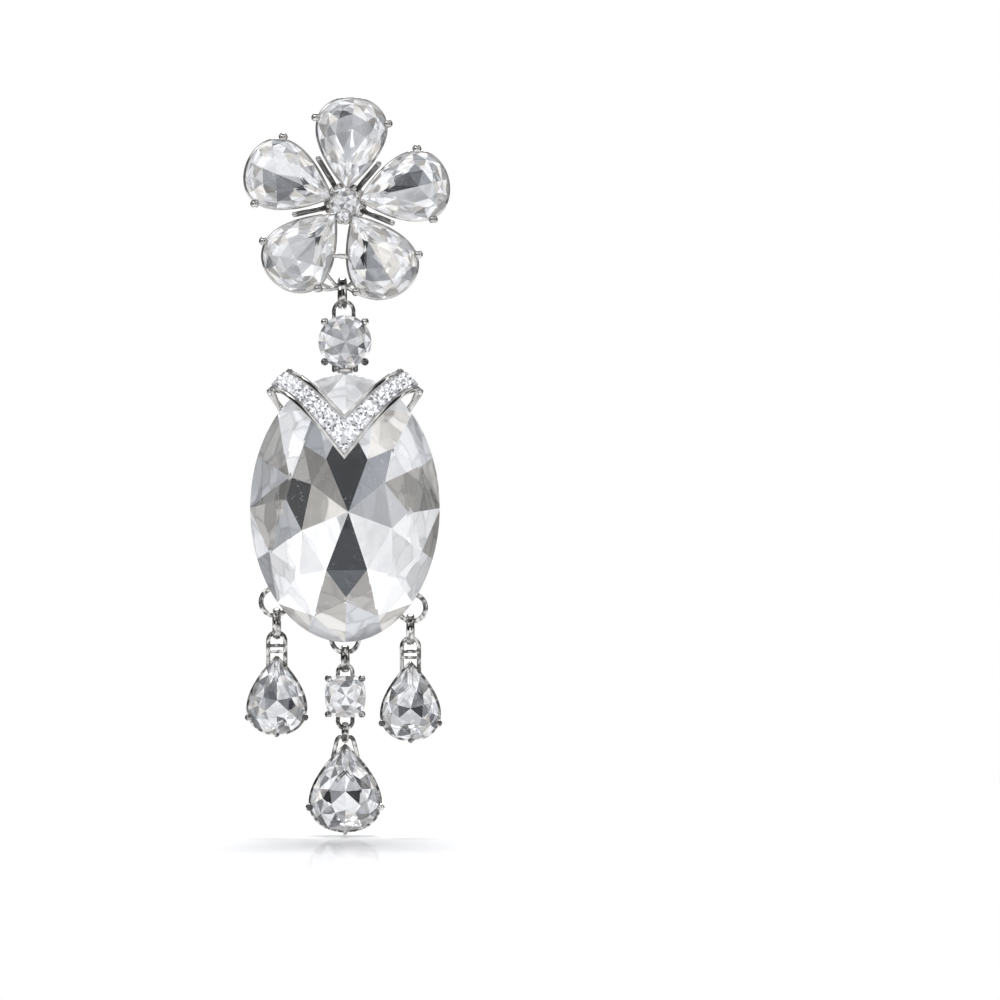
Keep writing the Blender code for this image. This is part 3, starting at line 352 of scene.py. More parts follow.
class Surface:
    """Collects grids of points and faces and makes one mesh of them."""

    def __init__(self):
        self.points = []
        self.corners = []
        self.sizes = []
        self.smooth = []
        self.tones = []
        self.reaches = []
        self.slots = []
        self.count = 0

    def faces(self, points, corners, sizes, smooth=True, tone=None, slot=0, reach=None):
        """Adds faces given by their corner numbers and how many corners each has."""
        self.points.append(points)
        self.corners.append(np.asarray(corners, dtype=np.int64).ravel() + self.count)
        self.sizes.append(np.asarray(sizes, dtype=np.int64))
        self.smooth.append(np.full(len(sizes), smooth))
        self.slots.append(np.broadcast_to(slot, len(sizes)))
        if tone is not None:
            self.tones.append(tone)
        if reach is not None:
            self.reaches.append(reach)
        self.count += len(points)
        return self

    def grid(self, grid, around=True, along=False, ends=True, smooth=True):
        """Quads between the rows of a grid. Around closes each row, along joins the last row to the
        first, and ends closes an open tube by triangles round the middle of its end rows."""
        rows, columns = grid.shape[:2]
        row = np.arange(rows if along else rows - 1)[:, None]
        column = np.arange(columns if around else columns - 1)[None, :]
        after = (row + 1) % rows
        beside = (column + 1) % columns
        quads = np.stack([row * columns + column, after * columns + column,
                          after * columns + beside, row * columns + beside], axis=-1)
        points = grid.reshape(-1, 3)
        corners = [quads.reshape(-1, 4).ravel()]
        sizes = [np.full(quads.size // 4, 4)]
        if ends and around and not along:
            points = np.vstack([points, grid[0].mean(axis=0), grid[-1].mean(axis=0)])
            here = np.arange(columns)
            following = (here + 1) % columns
            pole = np.full(columns, rows * columns)
            last = (rows - 1) * columns
            corners.append(np.stack([here, following, pole], axis=-1).ravel())
            corners.append(np.stack([last + following, last + here, pole + 1], axis=-1).ravel())
            sizes.append(np.full(2 * columns, 3))
        return self.faces(points, np.concatenate(corners), np.concatenate(sizes), smooth)

    def placed(self, move):
        """Moves every point so far collected."""
        self.points = [move(points) for points in self.points]
        return self

    def take(self, other):
        """Adds the faces of another surface."""
        self.points += other.points
        self.corners += [corners + self.count for corners in other.corners]
        self.count += other.count
        self.sizes += other.sizes
        self.smooth += other.smooth
        self.slots += other.slots
        self.tones += other.tones
        self.reaches += other.reaches
        return self

    def second_finish(self):
        """Gives every face so far collected the second material of its piece."""
        self.slots = [np.ones_like(slot) for slot in self.slots]
        return self

    def flip(self):
        """Turns every face to its other side."""
        for i, (corners, sizes) in enumerate(zip(self.corners, self.sizes)):
            starts = np.concatenate([[0], np.cumsum(sizes)[:-1]])
            owner = np.repeat(np.arange(len(sizes)), sizes)
            inside = np.arange(len(corners)) - starts[owner]
            self.corners[i] = corners[starts[owner] + sizes[owner] - 1 - inside]
        return self

    def piece(self, name, materials, body, nodes, slot):
        """Makes the object, which rides on a body and stands for its nodes of the frame."""
        points = np.vstack(self.points)
        corners = np.concatenate(self.corners)
        sizes = np.concatenate(self.sizes)
        mesh = bpy.data.meshes.new(name)
        mesh.vertices.add(len(points))
        mesh.vertices.foreach_set("co", points.astype(np.float32).ravel())
        mesh.loops.add(len(corners))
        mesh.loops.foreach_set("vertex_index", corners.astype(np.int32))
        mesh.polygons.add(len(sizes))
        starts = np.concatenate([[0], np.cumsum(sizes)[:-1]])
        mesh.polygons.foreach_set("loop_start", starts.astype(np.int32))
        mesh.polygons.foreach_set("use_smooth", np.concatenate(self.smooth))
        mesh.polygons.foreach_set("material_index", np.concatenate(self.slots).astype(np.int32))
        if self.tones:
            tone = mesh.attributes.new("tone", "FLOAT_COLOR", "CORNER")
            tone.data.foreach_set("color", np.concatenate(self.tones).astype(np.float32).ravel())
        if self.reaches:
            reach = mesh.attributes.new("reach", "FLOAT", "CORNER")
            reach.data.foreach_set("value", np.concatenate(self.reaches).astype(np.float32))
        mesh.update(calc_edges=True)
        mesh.validate()
        for material in materials:
            mesh.materials.append(material)
        item = bpy.data.objects.new(name, mesh)
        bpy.context.scene.collection.objects.link(item)
        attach(item, body)
        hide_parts(*nodes)
        return item


def smooth_path(points, steps):
    """Curve through the points: each span is the cubic whose slopes at its ends are half the chord
    between the neighbouring points, read at even steps of its parameter."""
    points = np.asarray(points, dtype=float)
    if len(points) == 2:
        share = np.linspace(0, 1, steps + 1)[:, None]
        return points[0] + (points[1] - points[0]) * share
    ends = np.vstack([2 * points[0] - points[1], points, 2 * points[-1] - points[-2]])
    place = np.linspace(0, len(points) - 1, (len(points) - 1) * steps + 1)
    span = np.minimum(place.astype(int), len(points) - 2)
    t = (place - span)[:, None]
    a, b, c, d = (ends[span + k] for k in range(4))
    return 0.5 * (2 * b + (c - a) * t + (2 * a - 5 * b + 4 * c - d) * t ** 2
                  + (3 * b - a - 3 * c + d) * t ** 3)


def wire(path, radius, sides=14, closed=False):
    """Round wire: a circle of the radius is carried along the path, square to it. At open ends the
    circle shrinks as the cosine of a quarter turn while it moves on by the radius times the sine."""
    path = np.asarray(path, dtype=float)
    if closed:
        along = unit(np.roll(path, -1, axis=0) - np.roll(path, 1, axis=0))
        radii = np.full(len(path), radius)
    else:
        along = unit(np.gradient(path, axis=0))
        quarter = np.linspace(0, math.pi / 2, 5)[1:]
        head = path[0] - along[0] * radius * np.sin(quarter)[::-1, None]
        tail = path[-1] + along[-1] * radius * np.sin(quarter)[:, None]
        shrink = np.cos(quarter * 0.98)
        path = np.vstack([head, path, tail])
        radii = np.concatenate([radius * shrink[::-1], np.full(len(along), radius), radius * shrink])
        along = np.vstack([np.tile(along[0], (4, 1)), along, np.tile(along[-1], (4, 1))])
    steepest = np.abs(SIDEWAYS @ along.T).max(axis=1)
    reference = SIDEWAYS[np.argmin(steepest)]
    across = unit(np.cross(along, reference))
    over = np.cross(along, across)
    turn = np.arange(sides) * TAU / sides
    circle = (across[:, None, :] * np.cos(turn)[None, :, None]
              + over[:, None, :] * np.sin(turn)[None, :, None])
    grid = path[:, None, :] + circle * radii[:, None, None]
    return Surface().grid(grid[:, ::-1], along=closed, ends=not closed)


def bead(centre, radius, sides=20, rings=12):
    """Ball: rows of latitude from pole to pole, each a circle of the cosine of its latitude."""
    rise = np.linspace(-math.pi / 2, math.pi / 2, rings + 1)[1:-1, None]
    turn = np.arange(sides)[None, :] * TAU / sides
    grid = np.stack([np.cos(rise) * np.cos(turn), np.cos(rise) * np.sin(turn),
                     np.sin(rise) * np.ones_like(turn)], axis=-1)
    ball = Surface().grid(grid * radius).flip()
    ball.points[0][-2:] = ((0, 0, -radius), (0, 0, radius))
    return ball.placed(lambda p: p + np.asarray(centre))


def ring(centre, outer, thickness, width, axis, around=56, sides=18):
    """Ring: an ellipse of the wire's thickness and width is carried round a circle about the axis."""
    turn = np.arange(around)[:, None] * TAU / around
    side = np.arange(sides)[None, :] * TAU / sides
    reach = (outer - thickness) / 2 + np.cos(side) * thickness / 2
    grid = np.stack([reach * np.cos(turn), reach * np.sin(turn),
                     np.sin(side) * width / 2 * np.ones_like(turn)], axis=-1)
    if axis == "x":
        grid = grid[..., (2, 0, 1)]
    return Surface().grid(grid[:, ::-1], along=True).placed(lambda p: p + np.asarray(centre))


def rod(start, end, radius, sides=24, edge=0.04 * MM):
    """Straight rod with slightly rounded ends: a circle whose radius eases in over the edge."""
    start = np.asarray(start, dtype=float)
    end = np.asarray(end, dtype=float)
    length = np.linalg.norm(end - start)
    along = (end - start) / length
    across = unit(np.cross(along, SIDEWAYS[np.argmin(np.abs(SIDEWAYS @ along))]))
    over = np.cross(along, across)
    quarter = np.linspace(0, math.pi / 2, 4)
    level = np.concatenate([edge * (1 - np.cos(quarter)), length - edge * (1 - np.cos(quarter[::-1]))])
    radii = np.concatenate([radius - edge * (1 - np.sin(quarter)),
                            radius - edge * (1 - np.sin(quarter[::-1]))])
    turn = np.arange(sides) * TAU / sides
    circle = across * np.cos(turn)[:, None] + over * np.sin(turn)[:, None]
    grid = start + along * level[:, None, None] + circle[None] * radii[:, None, None]
    return Surface().grid(grid[:, ::-1])


# Stones

def outline(stone, turn, scale=1.0, height=0.0):
    """Points of the girdle outline at turns that run clockwise from the top, or from a pear's tip:
    sine across and cosine along, a pear's width times the sine of the half turn."""
    turn = np.asarray(turn, dtype=float)
    across = np.sin(turn)
    along = np.cos(turn)
    if stone.shape == "pear":
        across = across * np.sin(turn / 2) / PEAR_WIDEST
        along = along + 1 / 3
    if stone.shape == "cushion":
        across = np.sign(across) * np.abs(across) ** (2 / CUSHION_POWER)
        along = np.sign(along) * np.abs(along) ** (2 / CUSHION_POWER)
    return np.stack([across * stone.width / 2 * scale, along * stone.length / 2 * scale,
                     np.full_like(turn, height)], axis=-1)


def rim_depth(stone, scale, radius):
    """How far below the girdle plane a wire lies that just clears the back of the stone."""
    slope = math.atan2(stone.pavilion, min(stone.width, stone.length) / 2)
    inward = max(0.0, 1 - scale * math.cos(math.pi / FOLD))
    return stone.girdle / 2 + inward * stone.pavilion + (radius + STONE_GAP) / math.cos(slope)


def planes(first, second, third):
    """Planes through rows of three points, as a point and a normal that faces away from the middle."""
    normal = unit(np.cross(second - first, third - first))
    inward = np.sum(normal * first, axis=-1) < 0
    return first, np.where(inward[:, None], -normal, normal)


def main_planes(stone, turns, edge, top, inner_scale):
    """Planes of eight mains, each along the outline at its turn and through its inner corner."""
    rim = outline(stone, turns, 1.0, edge)
    side = outline(stone, turns + 0.01) - outline(stone, turns - 0.01)
    if stone.shape == "pear":
        side[0] = (1, 0, 0)
    inner = outline(stone, turns, inner_scale, top)
    return inner, planes(rim, rim + side, inner)


def heights(point, normal, places):
    """Heights of planes over places, a row for each plane."""
    offset = places[None, :, :2] - point[:, None, :2]
    return point[:, 2:] - np.sum(offset * normal[:, None, :2], axis=2) / normal[:, 2:]


def scalloped(stone, meet, edge, steps):
    """Girdle edge of one half: it follows the planes from the outline's corners to where mains meet."""
    half = np.arange(2 * FOLD)
    first = outline(stone, half * HALF_FOLD, 1.0, edge)
    last = outline(stone, (half + 1) * HALF_FOLD, 1.0, edge)
    point, normal = planes(first, last, meet[half // 2])
    number = np.arange(2 * FOLD * steps)
    girdle = outline(stone, number * TAU / len(number), 1.0, edge)
    girdle[:, 2] = heights(point, normal, girdle)[number // steps, number]
    return girdle, (point, normal)


def crown_cut(stone, steps):
    """Corners of the table, the places where neighbouring mains meet, and the upper girdle edge."""
    edge = stone.girdle / 2
    top = edge + stone.crown
    table, (point, normal) = main_planes(stone, np.arange(FOLD) * TAU / FOLD, edge, top, stone.table)
    upright = np.tile(vec(0, 0, 1), (FOLD, 1))
    rows = np.stack([normal, np.roll(normal, -1, axis=0), upright], axis=1)
    sums = np.sum(point * normal, axis=1)
    level = np.full(FOLD, edge + stone.crown_reach * stone.crown)
    sides = np.stack([sums, np.roll(sums, -1), level], axis=1)
    meet = np.linalg.solve(rows, sides[..., None])[..., 0]
    return table, meet, scalloped(stone, meet, edge, steps)[0]


def back_cut(stone, cut, steps):
    """Corners of the lower facets. Three rings of corners lie at shares of the outline, between the
    point below and the girdle, each as deep as the highest of the mains' and halves' planes there."""
    edge = -stone.girdle / 2
    turns = np.arange(FOLD) * TAU / FOLD
    low, (point, normal) = main_planes(stone, turns, edge, edge - stone.pavilion, 0.0)
    meet = outline(stone, turns + HALF_FOLD, BACK_MEET)
    meet[:, 2] = heights(point, normal, meet).max(axis=0)
    girdle, (half_point, half_normal) = scalloped(stone, meet, edge, steps)
    point = np.vstack([point, half_point])
    normal = np.vstack([normal, half_normal])
    turns = turns + cut.shift * HALF_FOLD
    between = turns + HALF_FOLD
    lean = np.array((*cut.lean, 0.0))
    rings = [low[:1] + lean]
    for angles, reach in ((between if cut.ridges is None else np.radians(cut.ridges), cut.inner),
                          (turns if cut.points is None else np.radians(cut.points), cut.middle),
                          (between, cut.outer)):
        reach = np.broadcast_to(reach, FOLD)[:, None]
        places = outline(stone, angles, 1.0) * reach
        places[:, 2] = heights(point, normal, places).max(axis=0)
        rings.append(places + lean * (1 - reach))
    return rings, girdle


def facets(cut, count, steps, starts):
    """Corner numbers of all facets, group by group, with the painted reflection tones of the groups
    behind the stone.
    Starts are the first numbers of the table's corners, where mains meet, the upper and the lower
    girdle edge, the three rings of the back from the inside out, and the point below."""
    t, m, g, h, r, p, o, c = starts
    k = np.arange(FOLD)
    after = (k + 1) % FOLD
    before = (k - 1) % FOLD
    half = np.arange(2 * FOLD)
    run = (half[:, None] * steps + np.arange(steps + 1)[None, :]) % count
    shifted = (run + cut.shift * steps) % count
    start = h + shifted[::2, 0]
    around = np.arange(count)
    ahead = (around + 1) % count
    gaps = np.stack([r + k, p + k, o + k, r + k, o + k, p + after], axis=1).reshape(-1, 3)
    rims = np.stack([p + k, o + before, start, p + k, start, o + k], axis=1).reshape(-1, 3)
    return [
        ((t + k[::-1])[None, :], None),
        (np.stack([t + k, t + after, m + k], axis=1), None),
        (np.stack([t + k, m + k, g + k * 2 * steps, m + before], axis=1), None),
        (np.hstack([(m + half // 2)[:, None], (g + run)[:, ::-1]]), None),
        (np.stack([g + around, g + ahead, h + ahead, h + around], axis=1), None),
        (np.stack([np.full(FOLD, c), r + before, r + k], axis=1), cut.kites),
        (np.stack([r + before, p + k, r + k], axis=1), cut.tips),
        (gaps, cut.gaps),
        (rims, cut.rims),
        (np.hstack([(o + half // 2)[:, None], h + shifted]), cut.halves),
    ]


def facet_tones(cut, groups, sizes):
    """Colour of each corner: the facet's painted reflection tone, and its share of painted streaks as
    alpha. Dark facets have none.
    """
    tones = np.vstack([greys((1,) * len(group) if values is None else values)
                       for group, values in groups])
    streaks = (0, 0, 0, 0, 0, KITE_STREAKS, *cut.broken)
    broken = np.concatenate([np.full(len(group), part) for (group, _), part in zip(groups, streaks)])
    broken = broken * (tones[:, 0] >= DARK_FACET)
    return np.repeat(np.hstack([tones, broken[:, None]]), sizes, axis=0)


def cut_stone(stone, cut, steps=6):
    """Cut stone: a table, eight stars, eight mains and sixteen halves over a scalloped girdle. Below
    it are eight kites round the point, each in two parts, sixteen facets between them, sixteen outer
    ones and sixteen halves. A corner's reach is its share of the outline in mm, with a stride from
    face to face, so that the painted streaks of a lower facet follow the outline."""
    table, meet, upper = crown_cut(stone, steps)
    (low, *rings), lower = back_cut(stone, cut, steps)
    count = len(upper)
    starts = np.cumsum([0, FOLD, FOLD, count, count, FOLD, FOLD, FOLD])
    groups = facets(cut, count, steps, starts)
    corners = np.concatenate([group.ravel() for group, _ in groups])
    sizes = np.concatenate([np.full(len(group), group.shape[1]) for group, _ in groups])
    slots = np.concatenate([np.full(len(group), values is not None) for group, values in groups])
    shares = [np.broadcast_to(part, FOLD) for part in (cut.inner, cut.middle, cut.outer)]
    shares = np.concatenate([np.ones(starts[4]), *shares, (0.0,)])
    strides = np.repeat(np.arange(len(sizes)) * FACE_STRIDE, sizes)
    reach = shares[corners] * stone.width / 2 / MM + strides
    points = np.vstack([table, meet, upper, lower, *rings, low])
    return Surface().faces(points, corners, sizes, False, facet_tones(cut, groups, sizes), slots, reach)


# Settings

def rim(stone, scale, radius, steps=112):
    """Closed wire along the stone's outline just clear of its back."""
    turn = np.arange(steps) * TAU / steps
    return wire(outline(stone, turn, scale, -rim_depth(stone, scale, radius)), radius, 12, True)


def on_outline(stone, turn, scale, height):
    """One point of the outline."""
    return outline(stone, np.array([turn]), scale, height)[0]


def claw(stone, turn, ball_radius, rim_scale, sizes):
    """Wire from the back rim over the upper rim and past the girdle, with a ball on its end."""
    edge = on_outline(stone, turn, 1.0, 0.0)
    away = unit(edge)
    outside = edge + away * (sizes.claw_radius + STONE_GAP)
    rim_radius = sizes.rim_radius
    path = [on_outline(stone, turn, BACK_RIM_SCALE, -rim_depth(stone, BACK_RIM_SCALE, rim_radius)),
            on_outline(stone, turn, rim_scale, -rim_depth(stone, rim_scale, rim_radius)),
            outside + vec(0, 0, -stone.girdle / 2 - sizes.claw_radius),
            edge + away * ball_radius * 0.5 + vec(0, 0, stone.girdle / 2 + ball_radius + STONE_GAP)]
    return wire(smooth_path(path, 6), sizes.claw_radius, 12).take(bead(path[-1], ball_radius))


def tip_claw(stone, rim_scale, sizes):
    """Thin claw that bends over a pear's tip."""
    tip = on_outline(stone, 0.0, 1.0, 0.0)
    small = sizes.small_ball_radius
    over = tip + vec(0, sizes.tip_claw_radius + STONE_GAP, 0)
    foot = on_outline(stone, 0.0, rim_scale, -rim_depth(stone, rim_scale, sizes.rim_radius))
    path = [foot, over, over + vec(0, 0, stone.girdle / 2 + small),
            tip + vec(0, 0, stone.girdle / 2 + small * 1.7)]
    return wire(smooth_path(path, 6), sizes.tip_claw_radius, 12).take(bead(path[-1], small, 16, 10))


def basket(stone, claws, rim_scale, sizes):
    """Two rims and the claws of an open setting; claws lists degrees and ball radii."""
    metal = rim(stone, rim_scale, sizes.rim_radius)
    metal.take(rim(stone, BACK_RIM_SCALE, sizes.rim_radius, 80))
    for degrees, ball_radius in claws:
        metal.take(claw(stone, math.radians(degrees), ball_radius, rim_scale, sizes))
    return metal


def arch(half_width, foot, top, depth, turn=1, rim_level=None):
    """Points of a bail: two legs and a half circle over them. The feet may lie at the rim's level;
    a turn of -1 makes a loop that hangs."""
    angle = np.linspace(0, math.pi, 17)
    bow = np.stack([-half_width * np.cos(angle), top - turn * half_width * (1 - np.sin(angle)),
                    np.full_like(angle, depth)], axis=-1)
    low = depth if rim_level is None else rim_level
    legs = [vec(side * half_width, foot, low) for side in (-1, 1)]
    left = smooth_path([legs[0], bow[0]], 8)
    right = smooth_path([bow[-1], legs[1]], 8)
    return np.vstack([left[:-1], bow, right[1:]])


def front(x, depth, height):
    """Move that turns a piece built in the XY plane to face the front at a place."""
    return lambda p: np.stack([p[:, 0] + x, depth - p[:, 2], p[:, 1] + height], axis=-1)


# Places of the hanging pieces, worked out as the solids' are

def ring_bottom_inside(sizes):
    """How far below the origin the top ring's inner bottom lies when it hangs on the loop."""
    loop_top = LOOP_DROP - sizes.loop_wire_spread - sizes.loop_wire_radius
    return loop_top - LINK_GAP + TOP_RING[0] - 2 * TOP_RING[1]


LOOP_DROP = -HINGES["drop_swing"][2]
HINGE_Y = HINGES["drop_swing"][1]
PIN_DROP = -HINGES["pendant_swing"][2]
OVAL_DROP = PIN_DROP + PIN_RADIUS + PIN_GAP + KNUCKLE_WALL + OVAL_TOP_GAP + OVAL.length / 2
STONE_Y = HINGE_Y - OVAL_BALANCE
RIM_LEVEL = -rim_depth(OVAL, FRAME_RIM_SCALE, FRAME_RIM_RADIUS)
HANG_Y = STONE_Y - RIM_LEVEL


def ring_level(wire_top, measures):
    """Height of a ring's middle when its inner top rests over a wire's upper side."""
    outer, thickness, _ = measures
    return wire_top + LINK_GAP - (outer / 2 - thickness)


def rest_below(level, measures):
    """Height of the bail's wire that rests inside a ring whose middle is at a level."""
    outer, thickness, _ = measures
    return level - outer / 2 + thickness + LINK_GAP + BAIL_WIRE


SIDE_BAIL_TOP = SIDE.length * 2 / 3 - SIDE_BAIL_FOOT + SIDE_BAIL_LENGTH
SIDE_RING_Z = {name: ring_level(-OVAL_DROP - OVAL.length / 2 + HOOK_RISE[name] - HOOK_RING_RADIUS
                                + HOOK_WIRE_RADIUS, SIDE_RING) for name in HOOK_RISE}
SIDE_DROP_Z = {name: rest_below(z, SIDE_RING) - SIDE_BAIL_TOP for name, z in SIDE_RING_Z.items()}
CENTRE_RING_Z = ring_level(-OVAL_DROP - OVAL.length / 2 + BOTTOM_HOOK_RISE - HOOK_RING_RADIUS
                           + HOOK_WIRE_RADIUS, CENTRE_RING)
SMALL_Z = rest_below(CENTRE_RING_Z, CENTRE_RING) - SMALL.length / 2 - SMALL_BAIL_RISE
LOWER_RING_Z = ring_level(SMALL_Z - SMALL.length / 2 - SMALL_LOOP_DROP + BAIL_WIRE, LOWER_RING)
DROP_Z = rest_below(LOWER_RING_Z, LOWER_RING) - DROP.length * 2 / 3 - DROP_BAIL_RISE


def polar(reach, angle, height):
    """A point of the flower at a reach from its middle and an angle from the right."""
    return vec(reach * math.cos(angle), reach * math.sin(angle), height)


def petal_angle(index):
    """Direction of a petal; they go anticlockwise from the top one, and the whole flower is turned."""
    return math.pi / 2 - PETAL_TURN + index * TAU / PETALS


def petal_move(index):
    """Move from a petal's own frame to the flower's, its tip towards the middle."""
    angle = petal_angle(index)
    reach = PETAL_TIP_REACH + PETAL.length * 2 / 3
    turn = angle + math.pi / 2
    cos, sin = math.cos(turn), math.sin(turn)
    spin = np.array(((cos, sin, 0), (-sin, cos, 0), (0, 0, 1)))
    return lambda p: p @ spin + polar(reach, angle, PETAL_HEIGHT)


# Sizes, finishes and lights that a user would change

def length(name, description, default):
    """Property of a length in metres."""
    return FloatProperty(name=name, description=description, default=default, min=0.0,
                         unit="LENGTH", subtype="DISTANCE", precision=5)


def share(name, description, default):
    """Property between none and all."""
    return FloatProperty(name=name, description=description, default=default, min=0.0, max=1.0,
                         subtype="FACTOR")


def tint(name, description, default):
    """Property of a colour."""
    return FloatVectorProperty(name=name, description=description, default=default, size=3,
                               min=0.0, max=1.0, subtype="COLOR")


class EarringSizes(PropertyGroup):
    """Wire, claw and bead sizes of the metalwork."""
    petal_rim_radius: length("Petal rim", "Radius of the wire under a petal stone", 0.22 * MM)
    petal_arm_radius: length("Petal arm", "Radius of a petal's claw arms", 0.2 * MM)
    petal_ball_radius: length("Petal ball", "Radius of the balls on the petals' claws", 0.43 * MM)
    gap_bead_radius: length("Gap bead", "Radius of the beads between the petals", 0.27 * MM)
    gap_arm_radius: length("Gap arm", "Radius of the arms between the petals", 0.26 * MM)
    centre_claw_radius: length("Middle claw", "Radius of the middle stone's claws", 0.12 * MM)
    centre_ball_radius: length("Middle ball", "Radius of the middle stone's beads", 0.2 * MM)
    loop_wire_radius: length("Loop wire", "Radius of the wires of the bottom loop", 0.17 * MM)
    loop_wire_spread: length("Loop spread", "Distance of the loop's outer wires", 0.17 * MM)
    claw_radius: length("Claw", "Radius of the claws of the hanging settings", 0.17 * MM)
    claw_ball_radius: length("Claw ball", "Radius of the balls of the larger settings", 0.36 * MM)
    small_ball_radius: length("Small ball", "Radius of the balls of the smaller settings", 0.25 * MM)
    tip_claw_radius: length("Tip claw", "Radius of the claw over a pear's tip", 0.13 * MM)
    rim_radius: length("Basket rim", "Radius of the rims of the hanging settings", 0.18 * MM)
    facet_edge: length("Facet edge", "Width of the polished edges between facets", 0.025 * MM)
    girdle_steps: IntProperty(name="Girdle steps", description="Edges of the girdle to each half facet",
                              default=6, min=1, max=12)
    pave_columns: IntProperty(name="Pave columns", description="Stones along one arm of the chevron",
                              default=13, min=4, max=20)


class EarringFinish(PropertyGroup):
    """Colours and polish."""
    metal: tint("Metal", "Colour of the polished white metal", (0.7, 0.69, 0.675))
    metal_shade: tint("Metal shade", "Colour of its duller patches", (0.44, 0.43, 0.42))
    ring_metal: tint("Ring metal", "Colour of the small rings, bails and settings", (0.76, 0.75, 0.735))
    # The dark patches of the small rings are painted reflections of the studio's dark sides
    ring_painted_dark_reflection: tint("Ring shade", "Colour of their dark patches", (0.13, 0.125, 0.12))
    metal_roughness: share("Metal roughness", "Roughness of the polished metal", 0.07)
    crystal: tint("Crystal", "Colour of the clear crystal", (0.985, 0.99, 1.0))
    crystal_ior: FloatProperty(name="Crystal IOR", description="Refractive index of the crystal",
                               default=1.15, min=1.0, max=2.6)
    facet_roughness: share("Facet roughness", "Roughness of the lower facets' silvering", 0.06)
    facet_metallic: share("Facet silvering", "How mirror-like the lower facets are", 0.4)


class EarringStudio(PropertyGroup):
    """Camera, floor and lights."""
    pixel: length("Pixel", "Size of one pixel of the picture at the earring", 0.0934 * MM)
    distance: length("Camera distance", "Distance of the camera from the earring", 0.9)
    floor_gap: length("Floor gap", "Gap between the lowest drop and the floor", 0.05 * MM)
    floor_reach: length("Floor reach", "Half the width of the floor", 0.16)
    light: FloatProperty(name="Light", description="Strength of the soft lights", default=1.0, min=0.0)
    back_light: FloatProperty(name="Back light", description="Strength of the light from behind",
                              default=2.6, min=0.0)
    surroundings: share("Surroundings", "Brightness of the studio's sides in reflections", 0.4)


# Finishes

FINISHES = {}


def white_metal(name, finish, patch, levels, dull, bright, cloudy):
    """White metal plating: mirror polish with duller patches and fine buffing marks. A patch is dull
    below the lower of the two levels and bright above the upper one. On the small rings, bails and
    settings the patches are painted reflections; on the large metalwork they are faint clouds."""
    n = Nodes(bpy.data.materials.new(name))
    cloud = n.noise(*patch)
    fine = n.noise(9000.0, 2.0)
    shader = n.node("BsdfPrincipled", Metallic=1.0, Normal=n.bump(fine, 0.05, 0.01 * MM),
                    Base_Color=n.blend(n.eased(cloud, *levels), dull, bright),
                    Roughness=finish.metal_roughness + cloudy * cloud + 0.04 * fine)
    return n.finish(shader)


def polished_metal(name, finish, dark=1.0):
    """Plating of the large metalwork, with faint wide clouds. A dark share below one gives a darker
    copy: painted shade.
    """
    dull = tuple(dark * part for part in finish.metal_shade)
    bright = tuple(dark * part for part in finish.metal)
    return white_metal(name, finish, (900.0, 3.0), (0.35, 0.7), dull, bright, 0.05)


def painted_reflection_metal(name, finish):
    """Plating of the small rings, bails and settings, with small dark patches among bright ones:
    painted reflections of the studio's dark and bright sides.
    """
    return white_metal(name, finish, (1900.0, 1.0), (0.4, 0.66), finish.ring_painted_dark_reflection,
                       finish.ring_metal, 0.0)


def clear_crystal(name, finish):
    """Polished crystal of the upper facets, with the faintest polish marks."""
    n = Nodes(bpy.data.materials.new(name))
    haze = n.noise(2500.0, 2.0)
    shader = n.node("BsdfPrincipled", Base_Color=finish.crystal, Roughness=0.02 * haze,
                    Transmission_Weight=1.0, IOR=finish.crystal_ior, Coat_Weight=0.35,
                    Coat_Roughness=0.01, Coat_IOR=1.5)
    return n.finish(shader)


def silvered_facets(name, finish, width, run, level):
    """Lower facets seen through the crystal, silvered behind: each has a painted tone, slightly
    clouded, with specks; the tone stands for the reflection the facet shows.
    Towards the girdle, streaks along the outline break them up: painted reflections of other facets.
    They are as wide and run on as far as given, and the level darkens everything but the specks. The
    colour also glows, painted light, and the silvering adds a real mirror reflection over it."""
    n = Nodes(bpy.data.materials.new(name))
    # Painted reflections: each facet's tone, charted stone by stone, stands for the light or dark it
    # reflects
    tone = n.attribute("tone")
    broken = n.attribute("tone", "Alpha")
    cloud = n.noise(420.0, 4.0, 0.6)
    speck = n.eased(n.noise(5200.0, 1.0), 0.66, 0.74)
    way = n.node("SeparateXYZ", in_0=n.place())
    drift = n.noise(300.0, 1.0)
    streak = n.node("CombineXYZ", X=n.attribute("reach", "Fac") * (MM / width) + drift,
                    Y=n.out(way, "X") * (1 / run), Z=n.out(way, "Z") * (1 / run))
    cells = n.node("TexVoronoi", Vector=streak.outputs[0], Scale=1.0)
    edges = n.node("TexVoronoi", {"feature": "DISTANCE_TO_EDGE"}, Vector=streak.outputs[0], Scale=1.0)
    # Painted glints: bright and dark steps across the streak cells
    flash = n.ramp(n.out(cells, "Color"), (0.22, (0.3, 0.3, 0.31)), (0.36, (0.68, 0.67, 0.65)),
                   (0.55, (0.95, 0.96, 0.98)), (0.75, (1.2, 1.21, 1.23)))
    line = n.ramp(n.out(edges, "Distance"), (0.0, (0.55, 0.55, 0.56)), (0.09, (1.0, 1.0, 1.0)))
    flash = n.blend(1.0, flash, line, "MULTIPLY")
    shade = n.ramp(cloud, (0.3, (0.35, 0.36, 0.38)), (0.7, (1.0, 1.0, 1.0)))
    shaded = n.blend(0.2, tone, shade, "MULTIPLY")
    facet = n.blend(broken, shaded, n.blend(0.75, flash, tone, "MULTIPLY"))
    facet = n.blend(1.0, facet, (level, level, level), "MULTIPLY")
    colour = n.blend(0.16 * speck, facet, (0.95, 0.96, 1.0))
    # The facets glow with their painted colour: painted light, not a lamp
    shader = n.node("BsdfPrincipled", Base_Color=colour, Metallic=finish.facet_metallic,
                    Roughness=finish.facet_roughness, Emission_Color=colour, Emission_Strength=0.5)
    return n.finish(shader)


